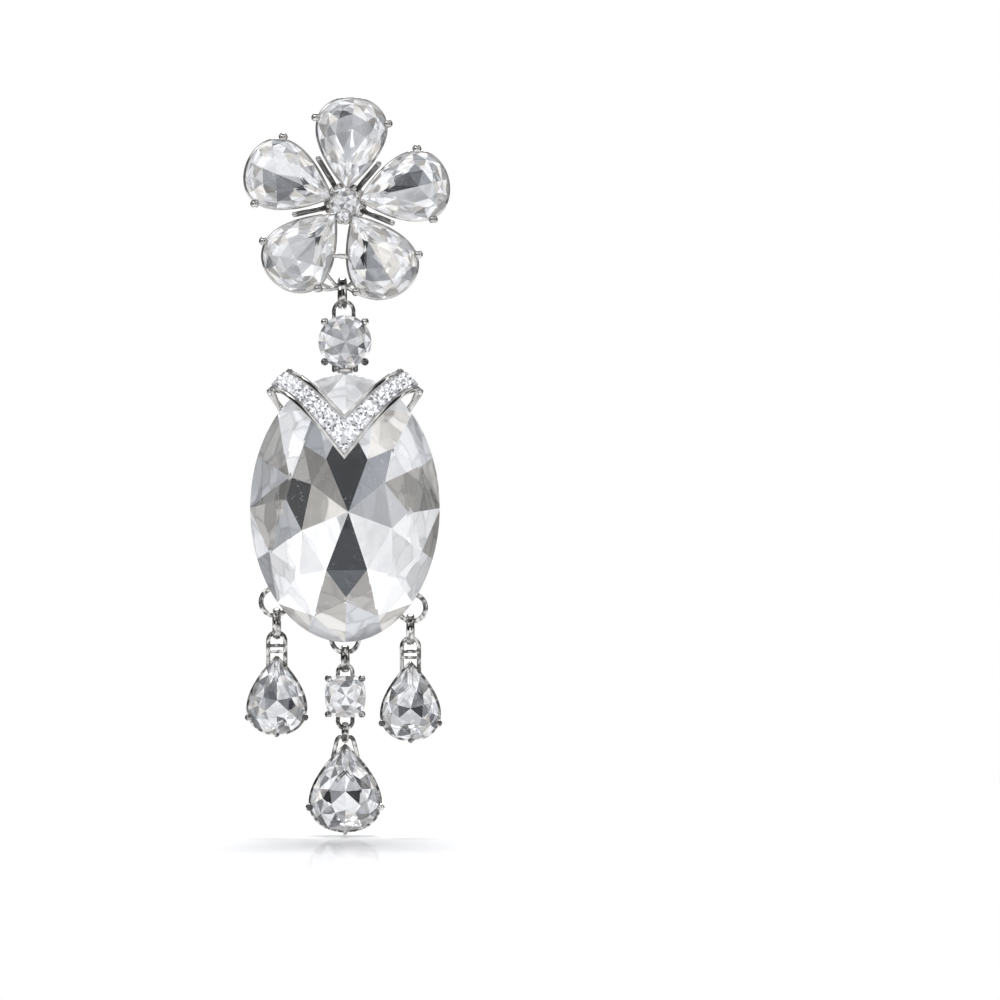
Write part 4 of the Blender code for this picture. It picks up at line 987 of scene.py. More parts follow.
def sparkling_pave(name):
    """Small set stones: each facet has a painted sparkle tone, speckled by painted darker glints, and
    the colour glows: painted light.
    """
    n = Nodes(bpy.data.materials.new(name))
    tone = n.attribute("tone")
    glint = n.noise(3000.0, 2.0, 0.7)
    darker = n.blend(0.45, tone, (0.35, 0.37, 0.4), "MULTIPLY")
    colour = n.blend(n.eased(glint, 0.35, 0.65), darker, tone)
    # The colour glows as well: painted light, not a lamp
    shader = n.node("BsdfPrincipled", Base_Color=colour, Metallic=0.25, Roughness=0.05 + 0.1 * glint,
                    Coat_Weight=1.0, Coat_Roughness=0.02, Emission_Color=colour, Emission_Strength=0.5)
    return n.finish(shader)


def finishes(scene):
    """The finishes, made once from the scene's settings."""
    if not FINISHES:
        finish = scene.earring_finish
        FINISHES.update(
            metal=polished_metal("polished_white_metal", finish),
            crystal=clear_crystal("clear_crystal", finish),
            # A darker copy of the polished metal: painted shade for the arms deep between the petals
            shaded=polished_metal("shaded_white_metal", finish, 0.35),
            # Small rings, bails and settings: plating with painted reflections in its colour
            streaked=painted_reflection_metal("streaked_white_metal", finish),
            facets=silvered_facets("silvered_facets", finish, 0.5 * MM, 2.2 * MM, 0.8),
            large_facets=silvered_facets("silvered_large_facets", finish, 1.1 * MM, 3.4 * MM, 0.9),
            pave=sparkling_pave("pave_crystal"))
    return FINISHES


# Painted reflections: tones of the lower facets, clockwise from the top or from a pear's tip, each
# standing for the light or dark the facet reflects

def greys(values):
    """Colours of facets' painted reflections from grey values; a negative value is a warm grey, and
    darker values are cooler.
    """
    values = np.array(values, dtype=float)[:, None]
    grey = np.abs(values)
    depth = np.clip(1 - grey, 0, 1) ** 2
    cool = np.hstack([1 - 0.09 * depth, 1 - 0.01 * depth, 1.01 + 0.12 * depth])
    return grey * np.where(values < 0, (1.04, 1.0, 0.945), cool)


# Runs of painted reflection tones, sparkling and pale, with warm greys among them
SPARKLE = (0.9, 0.35, -0.95, 0.5, 0.3, 1.0, -0.45, 1.0, 0.12, 0.95, 0.55, -0.9, 0.4, 1.0, -0.2, 1.0)
PALE = (1.0, -0.8, 1.0, 0.6, -1.0, 0.4, 1.0, -0.9, 0.95, -0.5, 1.0, 0.75, 1.0, -0.8, 0.9, 1.0)


def turned(tones, steps):
    """The same tones, starting further on."""
    return tones[steps:] + tones[:steps]


@dataclass(frozen=True)
class Cut:
    """Painted reflection tones of the lower facets, from the point below outwards, and where their
    corners lie: shares of the outline, degrees where they aren't evenly spread, and how far the middle
    leans aside."""
    kites: tuple
    tips: tuple
    gaps: tuple = SPARKLE
    rims: tuple = turned(SPARKLE, 5)
    halves: tuple = turned(SPARKLE, 11)
    inner: tuple = (0.46,)
    middle: tuple = (0.66,)
    outer: tuple = (0.8,)
    ridges: tuple = None
    points: tuple = None
    lean: tuple = (0.0, 0.0)
    shift: int = 0
    broken: tuple = (0.2, 0.6, 0.8, 0.8)


def petal_cut(kites, tips, steps):
    """Cut whose two sides meet in a line along the pear, in a border of pale facets."""
    borders = [turned(PALE, steps + more) for more in (0, 5, 9)]
    return Cut(kites, tips, *borders, inner=(0.5,), middle=(0.62,), shift=1)


# Painted reflections of each stone: the tones of its facets, and where their corners lie
OVAL_CUT = Cut(
    kites=(0.025, 0.24, 0.5, 1.05, 0.035, 0.68, -0.46, -0.2),
    tips=(0.025, 0.28, 0.65, 1.1, 0.08, 1.1, 0.006, -0.16),
    gaps=(0.7, -0.55, 0.85, -0.4, 1.1, 1.0, 1.15, -0.36,
          -0.33, 1.1, 1.0, 0.45, 0.006, -0.2, 0.25, 0.5),
    rims=(1.0, 0.95, -0.6, 0.75, -0.2, 0.9, 1.1, 1.15,
          0.55, -0.65, 1.15, 1.1, -0.4, -0.18, 0.9, 0.75),
    halves=(0.95, 0.85, 0.55, -0.45, -0.22, 0.7, -0.6, 0.5,
            0.65, -0.5, 0.4, 0.75, 0.45, -0.25, 0.7, 0.9),
    inner=(0.44, 0.45, 0.5, 0.5, 0.5, 0.5, 0.42, 0.44),
    middle=(0.68, 0.66, 0.66, 0.7, 0.66, 0.7, 0.64, 0.66),
    outer=(0.8, 0.82, 0.82, 0.84, 0.84, 0.82, 0.62, 0.8),
    ridges=(29.7, 62.8, 106, 154.1, 205.9, 252, 297.2, 330.3),
    points=(0, 47, 92, 135, 180, 225, 276.7, 317),
    lean=(0.24 * MM, -0.37 * MM), broken=(0.05, 0.3, 0.45, 0.45))
PETAL_CUTS = (
    petal_cut((0.5, 0.5, 0.48, 0.42, 0.5, 0.55, 0.53, 0.52),
              (0.5, 0.9, 0.95, 0.06, 0.95, 0.5, 1.0, 0.55), 0),
    petal_cut((0.16, 0.3, 0.36, 0.4, 0.8, 0.85, 0.8, 0.7),
              (0.03, 0.3, -0.2, 1.0, 0.95, 0.8, 0.9, 0.1), 3),
    petal_cut((0.5, 0.6, 0.62, 0.6, 0.6, 0.64, 0.62, 0.58),
              (0.08, 0.95, 0.9, 0.45, 1.0, 0.9, 0.6, 0.2), 7),
    petal_cut((-0.7, -0.8, -0.78, -0.7, 0.5, 0.36, 0.33, 0.36),
              (-0.3, -0.9, 0.95, 0.5, 0.9, 0.4, 0.02, 0.05), 10),
    petal_cut((0.03, 0.06, 0.12, 0.3, 0.75, 0.6, 0.6, 0.62),
              (0.02, 0.1, 0.2, 0.95, 1.0, 0.9, 0.6, 0.6), 13),
)


def drop_cut(kites, tips, steps, rise):
    """Cut of a drop, whose point below lies a rise above its middle."""
    borders = [turned(SPARKLE, steps + more) for more in (0, 5, 9)]
    return Cut(kites, tips, *borders, inner=(0.48,), middle=(0.6,), lean=(0.0, rise), shift=1)


SIDE_CUTS = {
    "left": drop_cut((1.0, 0.7, 0.2, 0.95, 1.0, 0.35, 0.12, 0.25),
                     (0.9, 0.3, 0.05, 0.9, 0.8, 0.6, 0.2, 0.3), 2, 0.7 * MM),
    "right": drop_cut((0.9, 0.25, 0.04, 0.75, 0.85, 0.1, 0.7, 0.8),
                      (0.6, 0.05, 0.3, 0.6, 0.7, 0.6, 0.9, 0.5), 7, 0.5 * MM),
}
DROP_CUT = drop_cut((1.0, 0.5, 0.03, 1.0, 0.95, 0.28, 0.55, 0.65),
                    (0.9, 0.05, 0.9, 0.9, 1.0, 0.02, 0.9, 0.4), 12, 1.0 * MM)
LINK_CUT = Cut((0.6, 0.4, 0.75, 0.42, 0.65, 0.4, 0.8, 0.45),
               (0.7, 0.5, 0.9, 0.3, 0.8, 0.5, 1.0, 0.55), turned(SPARKLE, 4))
ROUND_CUT = Cut((0.9, 0.35, 1.0, 0.5, 0.95, 0.3, 1.0, 0.6),
                (0.3, 1.0, 0.9, 1.0, 0.2, 0.95, 1.0, 0.9), turned(PALE, 4))
CUSHION_CUT = Cut((1.05, 0.6, 1.0, 0.45, 1.1, 0.55, 1.0, 0.4),
                  (0.15, 1.0, 0.9, 0.95, 0.3, 1.0, 0.95, 1.0),
                  turned(PALE, 5), turned(SPARKLE, 2), turned(PALE, 9))


def crystal_piece(context, name, stone, cut, move, body, node):
    """One cut stone, whose edges are narrow bevels."""
    scene = context.scene
    look = finishes(scene)
    surface = cut_stone(stone, cut, scene.earring_sizes.girdle_steps).placed(move)
    facets = look["large_facets" if stone is OVAL else "facets"]
    item = surface.piece(name, (look["crystal"], facets), body, (node,), "clear_crystal")
    edges = item.modifiers.new("Polished edges", "BEVEL")
    edges.width = scene.earring_sizes.facet_edge
    edges.segments = 1
    edges.limit_method = "ANGLE"
    edges.angle_limit = math.radians(3)
    return item


def metal_piece(context, name, surface, move, body, node, metals=("streaked",)):
    """One piece of metalwork; metals names its finishes, by default the plating with painted
    reflections.
    """
    look = finishes(context.scene)
    materials = [look[metal] for metal in metals]
    return surface.placed(move).piece(name, materials, body, (node,), "polished_metal")


# Flower

def petal_setting(index, sizes):
    """Rim under one petal stone and its two claw arms from the back plate."""
    to_flower = petal_move(index)
    radius = sizes.petal_rim_radius
    arm = sizes.petal_arm_radius
    ball = sizes.petal_ball_radius
    depth = rim_depth(PETAL, 1.0, radius)
    metal = rim(PETAL, 1.0, radius).placed(to_flower)
    low = PLATE_THICKNESS / 2 - PETAL_HEIGHT
    for side in (-1, 1):
        edge = on_outline(PETAL, side * PETAL_CLAW_ANGLE + (0 if side > 0 else TAU), 1.0, 0.0)
        away = unit(edge)
        outside = edge + away * (arm + STONE_GAP)
        root_angle = petal_angle(index) + side * PETAL_ARM_SPREAD
        root = polar(ARM_ROOT_REACH, root_angle, PLATE_THICKNESS / 2)
        rest = to_flower(np.stack([
            edge * 0.45 + vec(0, 0, low), outside + vec(0, 0, -depth - arm * 0.4),
            outside + vec(0, 0, PETAL.girdle / 2),
            edge + away * ball * 0.7 + vec(0, 0, PETAL.girdle / 2 + 0.3 * MM)]))
        metal.take(wire(smooth_path(np.vstack([root, rest]), 7), arm, 12))
        metal.take(bead(rest[-1], ball, 24, 16))
    return metal


def gap_setting(index, sizes):
    """Arm and bead in the gap after one petal, or the cross bar above the bottom loop."""
    angle = petal_angle(index) + math.pi / PETALS
    level = PETAL_HEIGHT - rim_depth(PETAL, 1.0, sizes.petal_rim_radius)
    if index == BOTTOM_GAP:
        start = polar(GAP_BAR_REACH, angle, level)
        across = polar(GAP_BAR_HALF_LENGTH, angle + math.pi / 2, 0.0)
        return wire(smooth_path([start - across, start + across], 4), sizes.gap_arm_radius)
    low = polar(ARM_ROOT_REACH, angle, PLATE_THICKNESS / 2)
    bend = polar(GAP_BEND_REACH, angle, level - sizes.gap_arm_radius)
    outer = polar(GAP_BEAD_REACH, angle, level)
    top = polar(GAP_BEAD_REACH, angle, PETAL_HEIGHT + PETAL.girdle)
    metal = wire(smooth_path([low, bend, outer], 8), sizes.gap_arm_radius)
    # The arm takes the flower's second finish, the darker copy of the metal: painted shade where it
    # lies deep between the petals
    metal.second_finish()
    metal.take(wire(smooth_path([outer, top], 3), sizes.gap_bead_radius * 0.7, 12))
    return metal.take(bead(top, sizes.gap_bead_radius, 16, 10))


def centre_setting(sizes):
    """Seat and claws of the middle stone, and the collar of the accent stone."""
    claw_radius = sizes.centre_claw_radius
    back = CENTRE_HEIGHT - CENTRE.girdle / 2 - CENTRE.pavilion - STONE_GAP
    metal = rod((0, 0, PLATE_THICKNESS / 2), (0, 0, back), CENTRE_SEAT_RADIUS)
    reach = CENTRE.width / 2 + claw_radius + STONE_GAP
    for degrees in CENTRE_CLAWS:
        angle = math.radians(degrees)
        path = [polar(CENTRE_CLAW_ROOT, angle, PLATE_THICKNESS + claw_radius),
                polar(reach, angle, CENTRE_HEIGHT - CENTRE.girdle * 2),
                polar(reach, angle, CENTRE_HEIGHT + CENTRE.girdle)]
        metal.take(wire(smooth_path(path, 6), claw_radius, 10))
        grip = path[-1] + vec(0, 0, sizes.centre_ball_radius / 2)
        metal.take(bead(grip, sizes.centre_ball_radius, 16, 10))
    angle = petal_angle(BOTTOM_GAP) + math.pi / PETALS
    radius = (ACCENT.width + COLLAR) / 2
    level = ACCENT_HEIGHT - ACCENT.girdle - COLLAR * 1.4
    middle = polar(ACCENT_OFFSET, angle, level)
    metal.take(ring(middle, 2 * radius + 2 * COLLAR, 2 * COLLAR, 2 * COLLAR, "z", 36, 12))
    foot = polar(ARM_ROOT_REACH, angle, PLATE_THICKNESS / 2)
    top = polar(ACCENT_OFFSET + radius, angle, level)
    return metal.take(wire(smooth_path([foot, top], 4), COLLAR * 1.4, 12))


def loop_wires(sizes):
    """Three wires of the bottom loop, side by side where the jump ring hangs."""
    spread = sizes.loop_wire_spread
    offsets = ((0.0, spread), (-spread, -0.13 * MM), (spread, -0.13 * MM))
    level = PETAL_HEIGHT - rim_depth(PETAL, 1.0, sizes.petal_rim_radius)
    metal = Surface()
    for (forward, lift), angles in zip(offsets, LOOP_WIRE_STARTS):
        ends = []
        for index, degrees in zip((BOTTOM_GAP, BOTTOM_GAP + 1), angles):
            head = petal_move(index)(np.zeros((1, 3)))[0]
            side = polar(PETAL.width / 2, math.radians(degrees), sizes.loop_wire_radius * 0.3)
            ends.append(vec(head[0], head[1], level) + side)
        sag = vec(0, -0.1 * MM, 0)
        bottoms = [vec(TOP_RING_SHIFT + side * 0.5 * MM, -LOOP_DROP + lift, -HINGE_Y + forward)
                   for side in (-1, 1)]
        path = [ends[0], ends[0] + (bottoms[0] - ends[0]) * 0.6 + sag, bottoms[0],
                bottoms[1], ends[1] + (bottoms[1] - ends[1]) * 0.6 + sag, ends[1]]
        metal.take(wire(smooth_path(path, 7), sizes.loop_wire_radius, 12))
    return metal


class EARRING_OT_flower_frame(Operator):
    """Build the flower's soldered metal: back plate, post, petal rims, claws, beads and loop"""
    bl_idname = "earring.flower_frame"
    bl_label = "Flower frame"

    def execute(self, context):
        sizes = context.scene.earring_sizes
        metal = rod((0, 0, 0), (0, 0, PLATE_THICKNESS), PLATE_RADIUS, 48, 0.1 * MM)
        metal.take(rod((0, 0, -POST_LENGTH), (0, 0, PLATE_THICKNESS / 2), POST_RADIUS, 24, 0.15 * MM))
        for index in range(PETALS):
            metal.take(petal_setting(index, sizes))
            metal.take(gap_setting(index, sizes))
        metal.take(centre_setting(sizes))
        metal.take(loop_wires(sizes))
        # The flower's second finish is the painted shade copy for the gap arms
        metal_piece(context, "flower_metal", metal, front(0, 0, 0), "flower", "flower_frame",
                    ("metal", "shaded"))
        return {"FINISHED"}


class EARRING_OT_flower_stones(Operator):
    """Cut the flower's five pear stones, its middle stone and the accent stone"""
    bl_idname = "earring.flower_stones"
    bl_label = "Flower stones"

    def execute(self, context):
        to_front = front(0, 0, 0)
        for index in range(PETALS):
            to_flower = petal_move(index)
            crystal_piece(context, "petal_crystal_%d" % (index + 1), PETAL, PETAL_CUTS[index],
                          lambda p: to_front(to_flower(p)), "flower", "petal_stone_%d" % (index + 1))
        crystal_piece(context, "centre_crystal", CENTRE, ROUND_CUT,
                      lambda p: to_front(p + vec(0, 0, CENTRE_HEIGHT)), "flower", "centre_stone")
        place = polar(ACCENT_OFFSET, petal_angle(BOTTOM_GAP) + math.pi / PETALS, ACCENT_HEIGHT)
        crystal_piece(context, "accent_crystal", ACCENT, ROUND_CUT,
                      lambda p: to_front(p + place), "flower", "accent_stone")
        return {"FINISHED"}


# Round link

def link_setting(sizes):
    """Basket with a double bail above and two lugs with the hinge pin below."""
    claws = [(degrees, sizes.claw_ball_radius) for degrees in DIAGONALS]
    metal = basket(LINK, claws, LINK_RIM_SCALE, sizes)
    level = -rim_depth(LINK, LINK_RIM_SCALE, sizes.rim_radius)
    top = LINK_DROP - ring_bottom_inside(sizes) + LINK_GAP + LINK_BAIL_WIRE
    foot = LINK.length / 2 * LINK_RIM_SCALE * 0.93
    for side in (-1, 1):
        depth = side * LINK_BAIL_SPREAD / 2 - LINK_FORWARD
        path = arch(LINK_BAIL_HALF_WIDTH, foot, top, depth, 1, level)
        metal.take(wire(path + vec(LINK_BAIL_SHIFT, 0, 0), LINK_BAIL_WIRE))
    pin_level = LINK_DROP - PIN_DROP
    lug_x = KNUCKLE_HALF_WIDTH + PIN_GAP + LUG_RADIUS
    metal.take(rod((-lug_x, pin_level, -LINK_FORWARD), (lug_x, pin_level, -LINK_FORWARD), PIN_RADIUS))
    for side in (-1, 1):
        x = side * lug_x
        path = [vec(x, -LINK.length / 2 * LINK_RIM_SCALE * 0.85, level),
                vec(x, pin_level + LUG_RADIUS, -LINK_FORWARD), vec(x, pin_level, -LINK_FORWARD)]
        metal.take(wire(smooth_path(path, 6), LUG_RADIUS))
    return metal


class EARRING_OT_link(Operator):
    """Build the top jump ring, the round link's setting and its stone"""
    bl_idname = "earring.link"
    bl_label = "Round link"

    def execute(self, context):
        sizes = context.scene.earring_sizes
        middle = -(ring_bottom_inside(sizes) - (TOP_RING[0] / 2 - TOP_RING[1]))
        metal_piece(context, "top_ring", ring((0, 0, 0), *TOP_RING, "x"),
                    lambda p: p + vec(TOP_RING_SHIFT, HINGE_Y, middle), "link", "top_jump_ring")
        to_link = front(0, HINGE_Y - LINK_FORWARD, -LINK_DROP)
        metal_piece(context, "link_metal", link_setting(sizes), to_link, "link", "link_setting")
        crystal_piece(context, "link_crystal", LINK, LINK_CUT, to_link, "link", "link_stone")
        return {"FINISHED"}


# Large stone, its frame and the chevron

def chevron_edges(s):
    """Edges of the chevron's back at shares s of one arm: each rises as 4 s less s to the fourth,
    over three, and turns back over the stone's shoulder as s to the fourth."""
    s = np.asarray(s, dtype=float)
    face = OVAL.girdle / 2 + OVAL.crown + STONE_GAP
    depth = face - (face - CHEVRON_END_DEPTH) * s ** 4
    rise = (4 * s - s ** 4) / 3
    top = OVAL.length / 2
    upper = np.stack([UPPER_REACH * s, top - UPPER_APEX + UPPER_RISE * rise, depth], axis=-1)
    lower = np.stack([LOWER_REACH * s, top - LOWER_APEX + LOWER_RISE * rise, depth], axis=-1)
    return upper, lower


def chevron_frame(s):
    """Edges with the unit directions across the channel and out of it."""
    upper, lower = chevron_edges(s)
    ahead = sum(chevron_edges(np.minimum(s + 0.02, 1.0)))
    behind = sum(chevron_edges(np.maximum(s - 0.02, 0.0)))
    along = unit(ahead - behind)
    across = unit(upper - lower)
    out = unit(np.cross(along, across))
    out[s == 0] = (0, 0, 1)
    return upper, lower, across, out


def rail_height(s):
    """Height of the rails at shares s of an arm; towards the end it falls as a quarter ellipse."""
    past = np.clip((np.asarray(s, dtype=float) - RAIL_FALL) / (1 - RAIL_FALL), 0, 1)
    return (RAIL_HEIGHT * np.sqrt(1 - 0.75 * past ** 2))[:, None]


def chevron_channel(stations=60):
    """Channel: a floor between two rounded rails, its section carried along both arms."""
    s = np.linspace(0, 1, stations)
    height = rail_height(s)
    upper, lower, across, out = chevron_frame(s)
    quarter = [(RAIL_CORNER * (1 - math.cos(a)), RAIL_CORNER * (1 - math.sin(a)))
               for a in np.linspace(0, math.pi / 2, 5)]

    def rail(first, second):
        """Top of a rail: up one wall, round its corner and the next, and down the other wall."""
        return ([first - across * shift + out * (height - drop) for shift, drop in quarter]
                + [second + across * shift + out * (height - drop) for drop, shift in quarter])

    high_wall = upper - across * RAIL_WIDTH
    low_wall = lower + across * RAIL_WIDTH
    floor = [high_wall + out * CHEVRON_FLOOR, low_wall + out * CHEVRON_FLOOR]
    right = np.stack([lower, upper, *rail(upper, high_wall), *floor, *rail(low_wall, lower)], axis=1)
    left = right[:0:-1] * vec(-1, 1, 1)
    return Surface().grid(np.concatenate([left, right])[:, ::-1])


def rail_ends():
    """Rounded ends of the rails, which run on a little and then turn back over the stone's edge."""
    shares = np.array([0.93, 1.0])
    upper, lower, across, out = chevron_frame(shares)
    metal = Surface()
    for line, inward, low in ((upper, -1, 1.1 * MM), (lower, 1, 1.5 * MM)):
        inside, end = line + across * inward * RAIL_WIDTH / 2 + out * rail_height(shares) / 2
        path = [inside, end - unit(end - inside) * 0.05 * MM,
                end - out[1] * 0.3 * MM + vec(0, -0.3 * MM, 0),
                end - out[1] * 0.7 * MM + vec(-0.3 * MM, -low, -0.4 * MM)]
        for side in (-1, 1):
            metal.take(wire(smooth_path(path, 8) * vec(side, 1, 1), RAIL_WIDTH / 2, 16))
    return metal


def chevron_struts():
    """Three struts at each end of the chevron, from its floor back to the gallery."""
    upper, lower, _, out = (edge[0] for edge in chevron_frame(np.array([1.0])))
    metal = Surface()
    for share_down, degrees in ((1.0, 42), (0.55, 33), (0.0, 24)):
        head = upper + (lower - upper) * share_down + out * (CHEVRON_FLOOR / 2)
        foot = on_outline(OVAL, math.radians(degrees), FRAME_RIM_SCALE, RIM_LEVEL)
        bend = vec(head[0], head[1] - 0.25 * MM, RIM_LEVEL * 0.4)
        path = smooth_path([head, bend, foot], 8)
        for side in (-1, 1):
            metal.take(wire(path * vec(side, 1, 1), STRUT_RADIUS, 12))
    return metal


def gallery():
    """Two rims behind the large stone and the struts between them."""
    metal = rim(OVAL, FRAME_RIM_SCALE, FRAME_RIM_RADIUS, 160)
    metal.take(rim(OVAL, FRAME_BACK_SCALE, FRAME_BACK_RADIUS, 120))
    back_level = -rim_depth(OVAL, FRAME_BACK_SCALE, FRAME_BACK_RADIUS)
    for i in range(FOLD):
        turn = TAU * (i + 0.5) / FOLD
        ends = [on_outline(OVAL, turn, FRAME_RIM_SCALE, RIM_LEVEL),
                on_outline(OVAL, turn, FRAME_BACK_SCALE, back_level)]
        metal.take(wire(smooth_path(ends, 4), 0.22 * MM, 12))
    return metal


def hinge_barrel():
    """Barrel round the link's pin and the strut that carries it."""
    middle = vec(0, OVAL_DROP - PIN_DROP, -OVAL_BALANCE)
    radius = PIN_RADIUS + PIN_GAP + KNUCKLE_WALL / 2
    outer = 2 * radius + KNUCKLE_WALL
    metal = ring(middle, outer, KNUCKLE_WALL, 2 * KNUCKLE_HALF_WIDTH, "x", 40, 16)
    top = on_outline(OVAL, 0.0, FRAME_RIM_SCALE, RIM_LEVEL)
    start = middle + unit(top - middle) * radius
    return metal.take(wire(smooth_path([start, top], 4), STRUT_RADIUS))


def hook_ring(centre):
    """Ring of three wires soldered side by side, in the second material: on the oval frame, the plating
    with painted reflections.
    """
    metal = Surface()
    thin = HOOK_WIRE_RADIUS * 0.62
    for reach, lift in ((0.0, 0.0), (-1.2, 0.75), (-1.2, -0.75)):
        outer = 2 * (HOOK_RING_RADIUS + HOOK_WIRE_RADIUS + reach * thin)
        place = np.asarray(centre) + vec(0, 0, lift * thin)
        metal.take(ring(place, outer, 2 * thin, 2 * thin, "z", 64, 12))
    return metal.second_finish()


class EARRING_OT_oval_frame(Operator):
    """Build the gallery behind the large stone, the hinge barrel, the chevron and the three rings"""
    bl_idname = "earring.oval_frame"
    bl_label = "Oval frame and chevron"

    def execute(self, context):
        metal = gallery()
        base = -OVAL.length / 2
        for name, side in (("left", -1), ("right", 1)):
            metal.take(hook_ring((side * HOOK_REACH[name], base + HOOK_RISE[name], RIM_LEVEL)))
        metal.take(hook_ring((0, base + BOTTOM_HOOK_RISE, RIM_LEVEL)))
        for part in (hinge_barrel(), chevron_channel(), chevron_struts(), rail_ends()):
            metal.take(part)
        # Its second finish, on the three rings, is the plating with painted reflections
        metal_piece(context, "oval_metal", metal, front(0, STONE_Y, -OVAL_DROP), "pendant",
                    "oval_frame", ("metal", "streaked"))
        return {"FINISHED"}


class EARRING_OT_oval_stone(Operator):
    """Cut the large oval stone"""
    bl_idname = "earring.oval_stone"
    bl_label = "Large stone"

    def execute(self, context):
        crystal_piece(context, "oval_crystal", OVAL, OVAL_CUT, front(0, STONE_Y, -OVAL_DROP),
                      "pendant", "oval_stone")
        return {"FINISHED"}


def bed_edges(s):
    """Lower and upper edge of the pave bed's underside at shares s of an arm, with the directions
    across and out."""
    upper, lower, across, out = chevron_frame(s)
    inset = RAIL_WIDTH + BED_GAP
    rise = out * (CHEVRON_FLOOR + BED_GAP)
    return lower + across * inset + rise, upper - across * inset + rise, across, out


def pave_stones(sizes):
    """Bed of the pave and its stones. Each stone is a low cone of eight sides with a table, whose
    facets have painted sparkle tones, drawn at random; its place, size and turn vary a little."""
    low, high, across, out = bed_edges(np.linspace(0, 1, 40))
    right = np.stack([low, high, high + out * PAVE_BED, low + out * PAVE_BED], axis=1)
    bed = np.concatenate([right[:0:-1] * vec(-1, 1, 1), right])
    stones = Surface().grid(bed[:, ::-1], smooth=False)
    stones.tones.append(np.tile((0.5, 0.5, 0.52, 1.0), (len(stones.corners[0]), 1)))
    pitch = np.linalg.norm(high[20] - low[20]) / PAVE_ROWS
    random = np.random.default_rng(PAVE_SEED)
    row, column = (part.ravel() for part in np.indices((PAVE_ROWS, sizes.pave_columns)))
    count = len(row)
    places = (column + 0.5 + 0.5 * (row % 2 - 0.5)) / (sizes.pave_columns + 0.25)
    low, high, across, out = bed_edges(places)
    level = (row + 0.5 + random.uniform(-0.05, 0.05, count)) / PAVE_ROWS
    middle = low + (high - low) * (0.5 + PAVE_SPREAD * (level - 0.5))[:, None]
    along = np.cross(across, out)
    turn = np.arange(PAVE_SIDES) * TAU / PAVE_SIDES + random.uniform(0, TAU, (count, 1))
    circle = (along[:, None] * np.cos(turn)[..., None] + across[:, None] * np.sin(turn)[..., None])
    radius = pitch * random.uniform(*PAVE_RADII, (count, 1, 1))
    grid = np.stack([middle[:, None] + circle * radius * wide + out[:, None] * rise * MM
                     for rise, wide in PAVE_LEVELS], axis=1)
    for side in (-1, 1):
        arm = Surface()
        for stone in grid * vec(side, 1, 1):
            arm.grid(stone[:, ::-1], smooth=False)
        if side < 0:
            arm.flip()
        faces = np.concatenate(arm.sizes)
        light = random.choice(PAVE_TONES, len(faces))
        tone = np.stack([light, light, light * 1.02, np.ones_like(light)], axis=1)
        arm.tones.append(np.repeat(tone, faces, axis=0))
        stones.take(arm)
    return stones


class EARRING_OT_pave(Operator):
    """Set the pave stones in the chevron"""
    bl_idname = "earring.pave"
    bl_label = "Pave"

    def execute(self, context):
        look = finishes(context.scene)
        stones = pave_stones(context.scene.earring_sizes).placed(front(0, STONE_Y, -OVAL_DROP))
        stones.piece("pave_stones", (look["pave"],), "pendant", ("pave_field",), "pave_crystal")
        return {"FINISHED"}


# Drops

def side_setting(sizes):
    """Setting of a side drop: basket, tip claw and a long bail with two bars."""
    small = sizes.small_ball_radius
    claws = [(124, small * 1.3), (236, small * 1.3), (180, small)]
    metal = basket(SIDE, claws, PEAR_RIM_SCALE, sizes).take(tip_claw(SIDE, PEAR_RIM_SCALE, sizes))
    level = -rim_depth(SIDE, PEAR_RIM_SCALE, sizes.rim_radius)
    foot = SIDE_BAIL_TOP - SIDE_BAIL_LENGTH
    metal.take(wire(arch(SIDE_BAIL_HALF_WIDTH, foot, SIDE_BAIL_TOP, 0.0, 1, level), BAIL_WIRE))
    for rise in SIDE_BAIL_BARS:
        z = level * (1 - rise / (SIDE_BAIL_LENGTH - SIDE_BAIL_HALF_WIDTH))
        ends = [vec(end * SIDE_BAIL_HALF_WIDTH, foot + rise, z) for end in (-1, 1)]
        metal.take(wire(smooth_path(ends, 3), BAIL_WIRE * 0.8, 12))
    return metal


def small_setting(sizes):
    """Setting of the cushion stone, with a bail above and a loop below."""
    claws = [(degrees, sizes.small_ball_radius * 1.35) for degrees in DIAGONALS]
    metal = basket(SMALL, claws, SMALL_RIM_SCALE, sizes)
    level = -rim_depth(SMALL, SMALL_RIM_SCALE, sizes.rim_radius)
    edge = SMALL.length / 2
    for turn, reach in ((1, SMALL_BAIL_RISE), (-1, SMALL_LOOP_DROP)):
        path = arch(SMALL_BAIL_HALF_WIDTH, turn * edge * SMALL_RIM_SCALE * 0.94,
                    turn * (edge + reach), 0.0, turn, level)
        metal.take(wire(path, BAIL_WIRE))
    return metal


def centre_drop_setting(sizes):
    """Setting of the lowest drop: basket, tip claw and a bail that narrows upwards."""
    big = sizes.claw_ball_radius
    claws = [(116, big), (244, big), (180, sizes.small_ball_radius)]
    metal = basket(DROP, claws, PEAR_RIM_SCALE, sizes).take(tip_claw(DROP, PEAR_RIM_SCALE, sizes))
    level = -rim_depth(DROP, PEAR_RIM_SCALE, sizes.rim_radius)
    tip = DROP.length * 2 / 3
    top = tip + DROP_BAIL_RISE
    half = DROP_BAIL_HALF_WIDTH
    leg = [vec(-half * 1.2, tip - 0.9 * MM, level), vec(-half, tip - 0.1 * MM, level / 2),
           vec(-half * 0.75, top - 0.25 * MM, 0), vec(-half * 0.3, top, 0)]
    path = leg + [p * vec(-1, 1, 1) for p in leg[::-1]]
    return metal.take(wire(smooth_path(path, 6), BAIL_WIRE))


def jump_ring(context, name, measures, place):
    """One jump ring, seen edge on from the front."""
    metal = ring((0, 0, 0), *measures, "x")
    metal_piece(context, name + "_ring", metal, lambda p: p + place, "pendant", name + "_jump_ring")


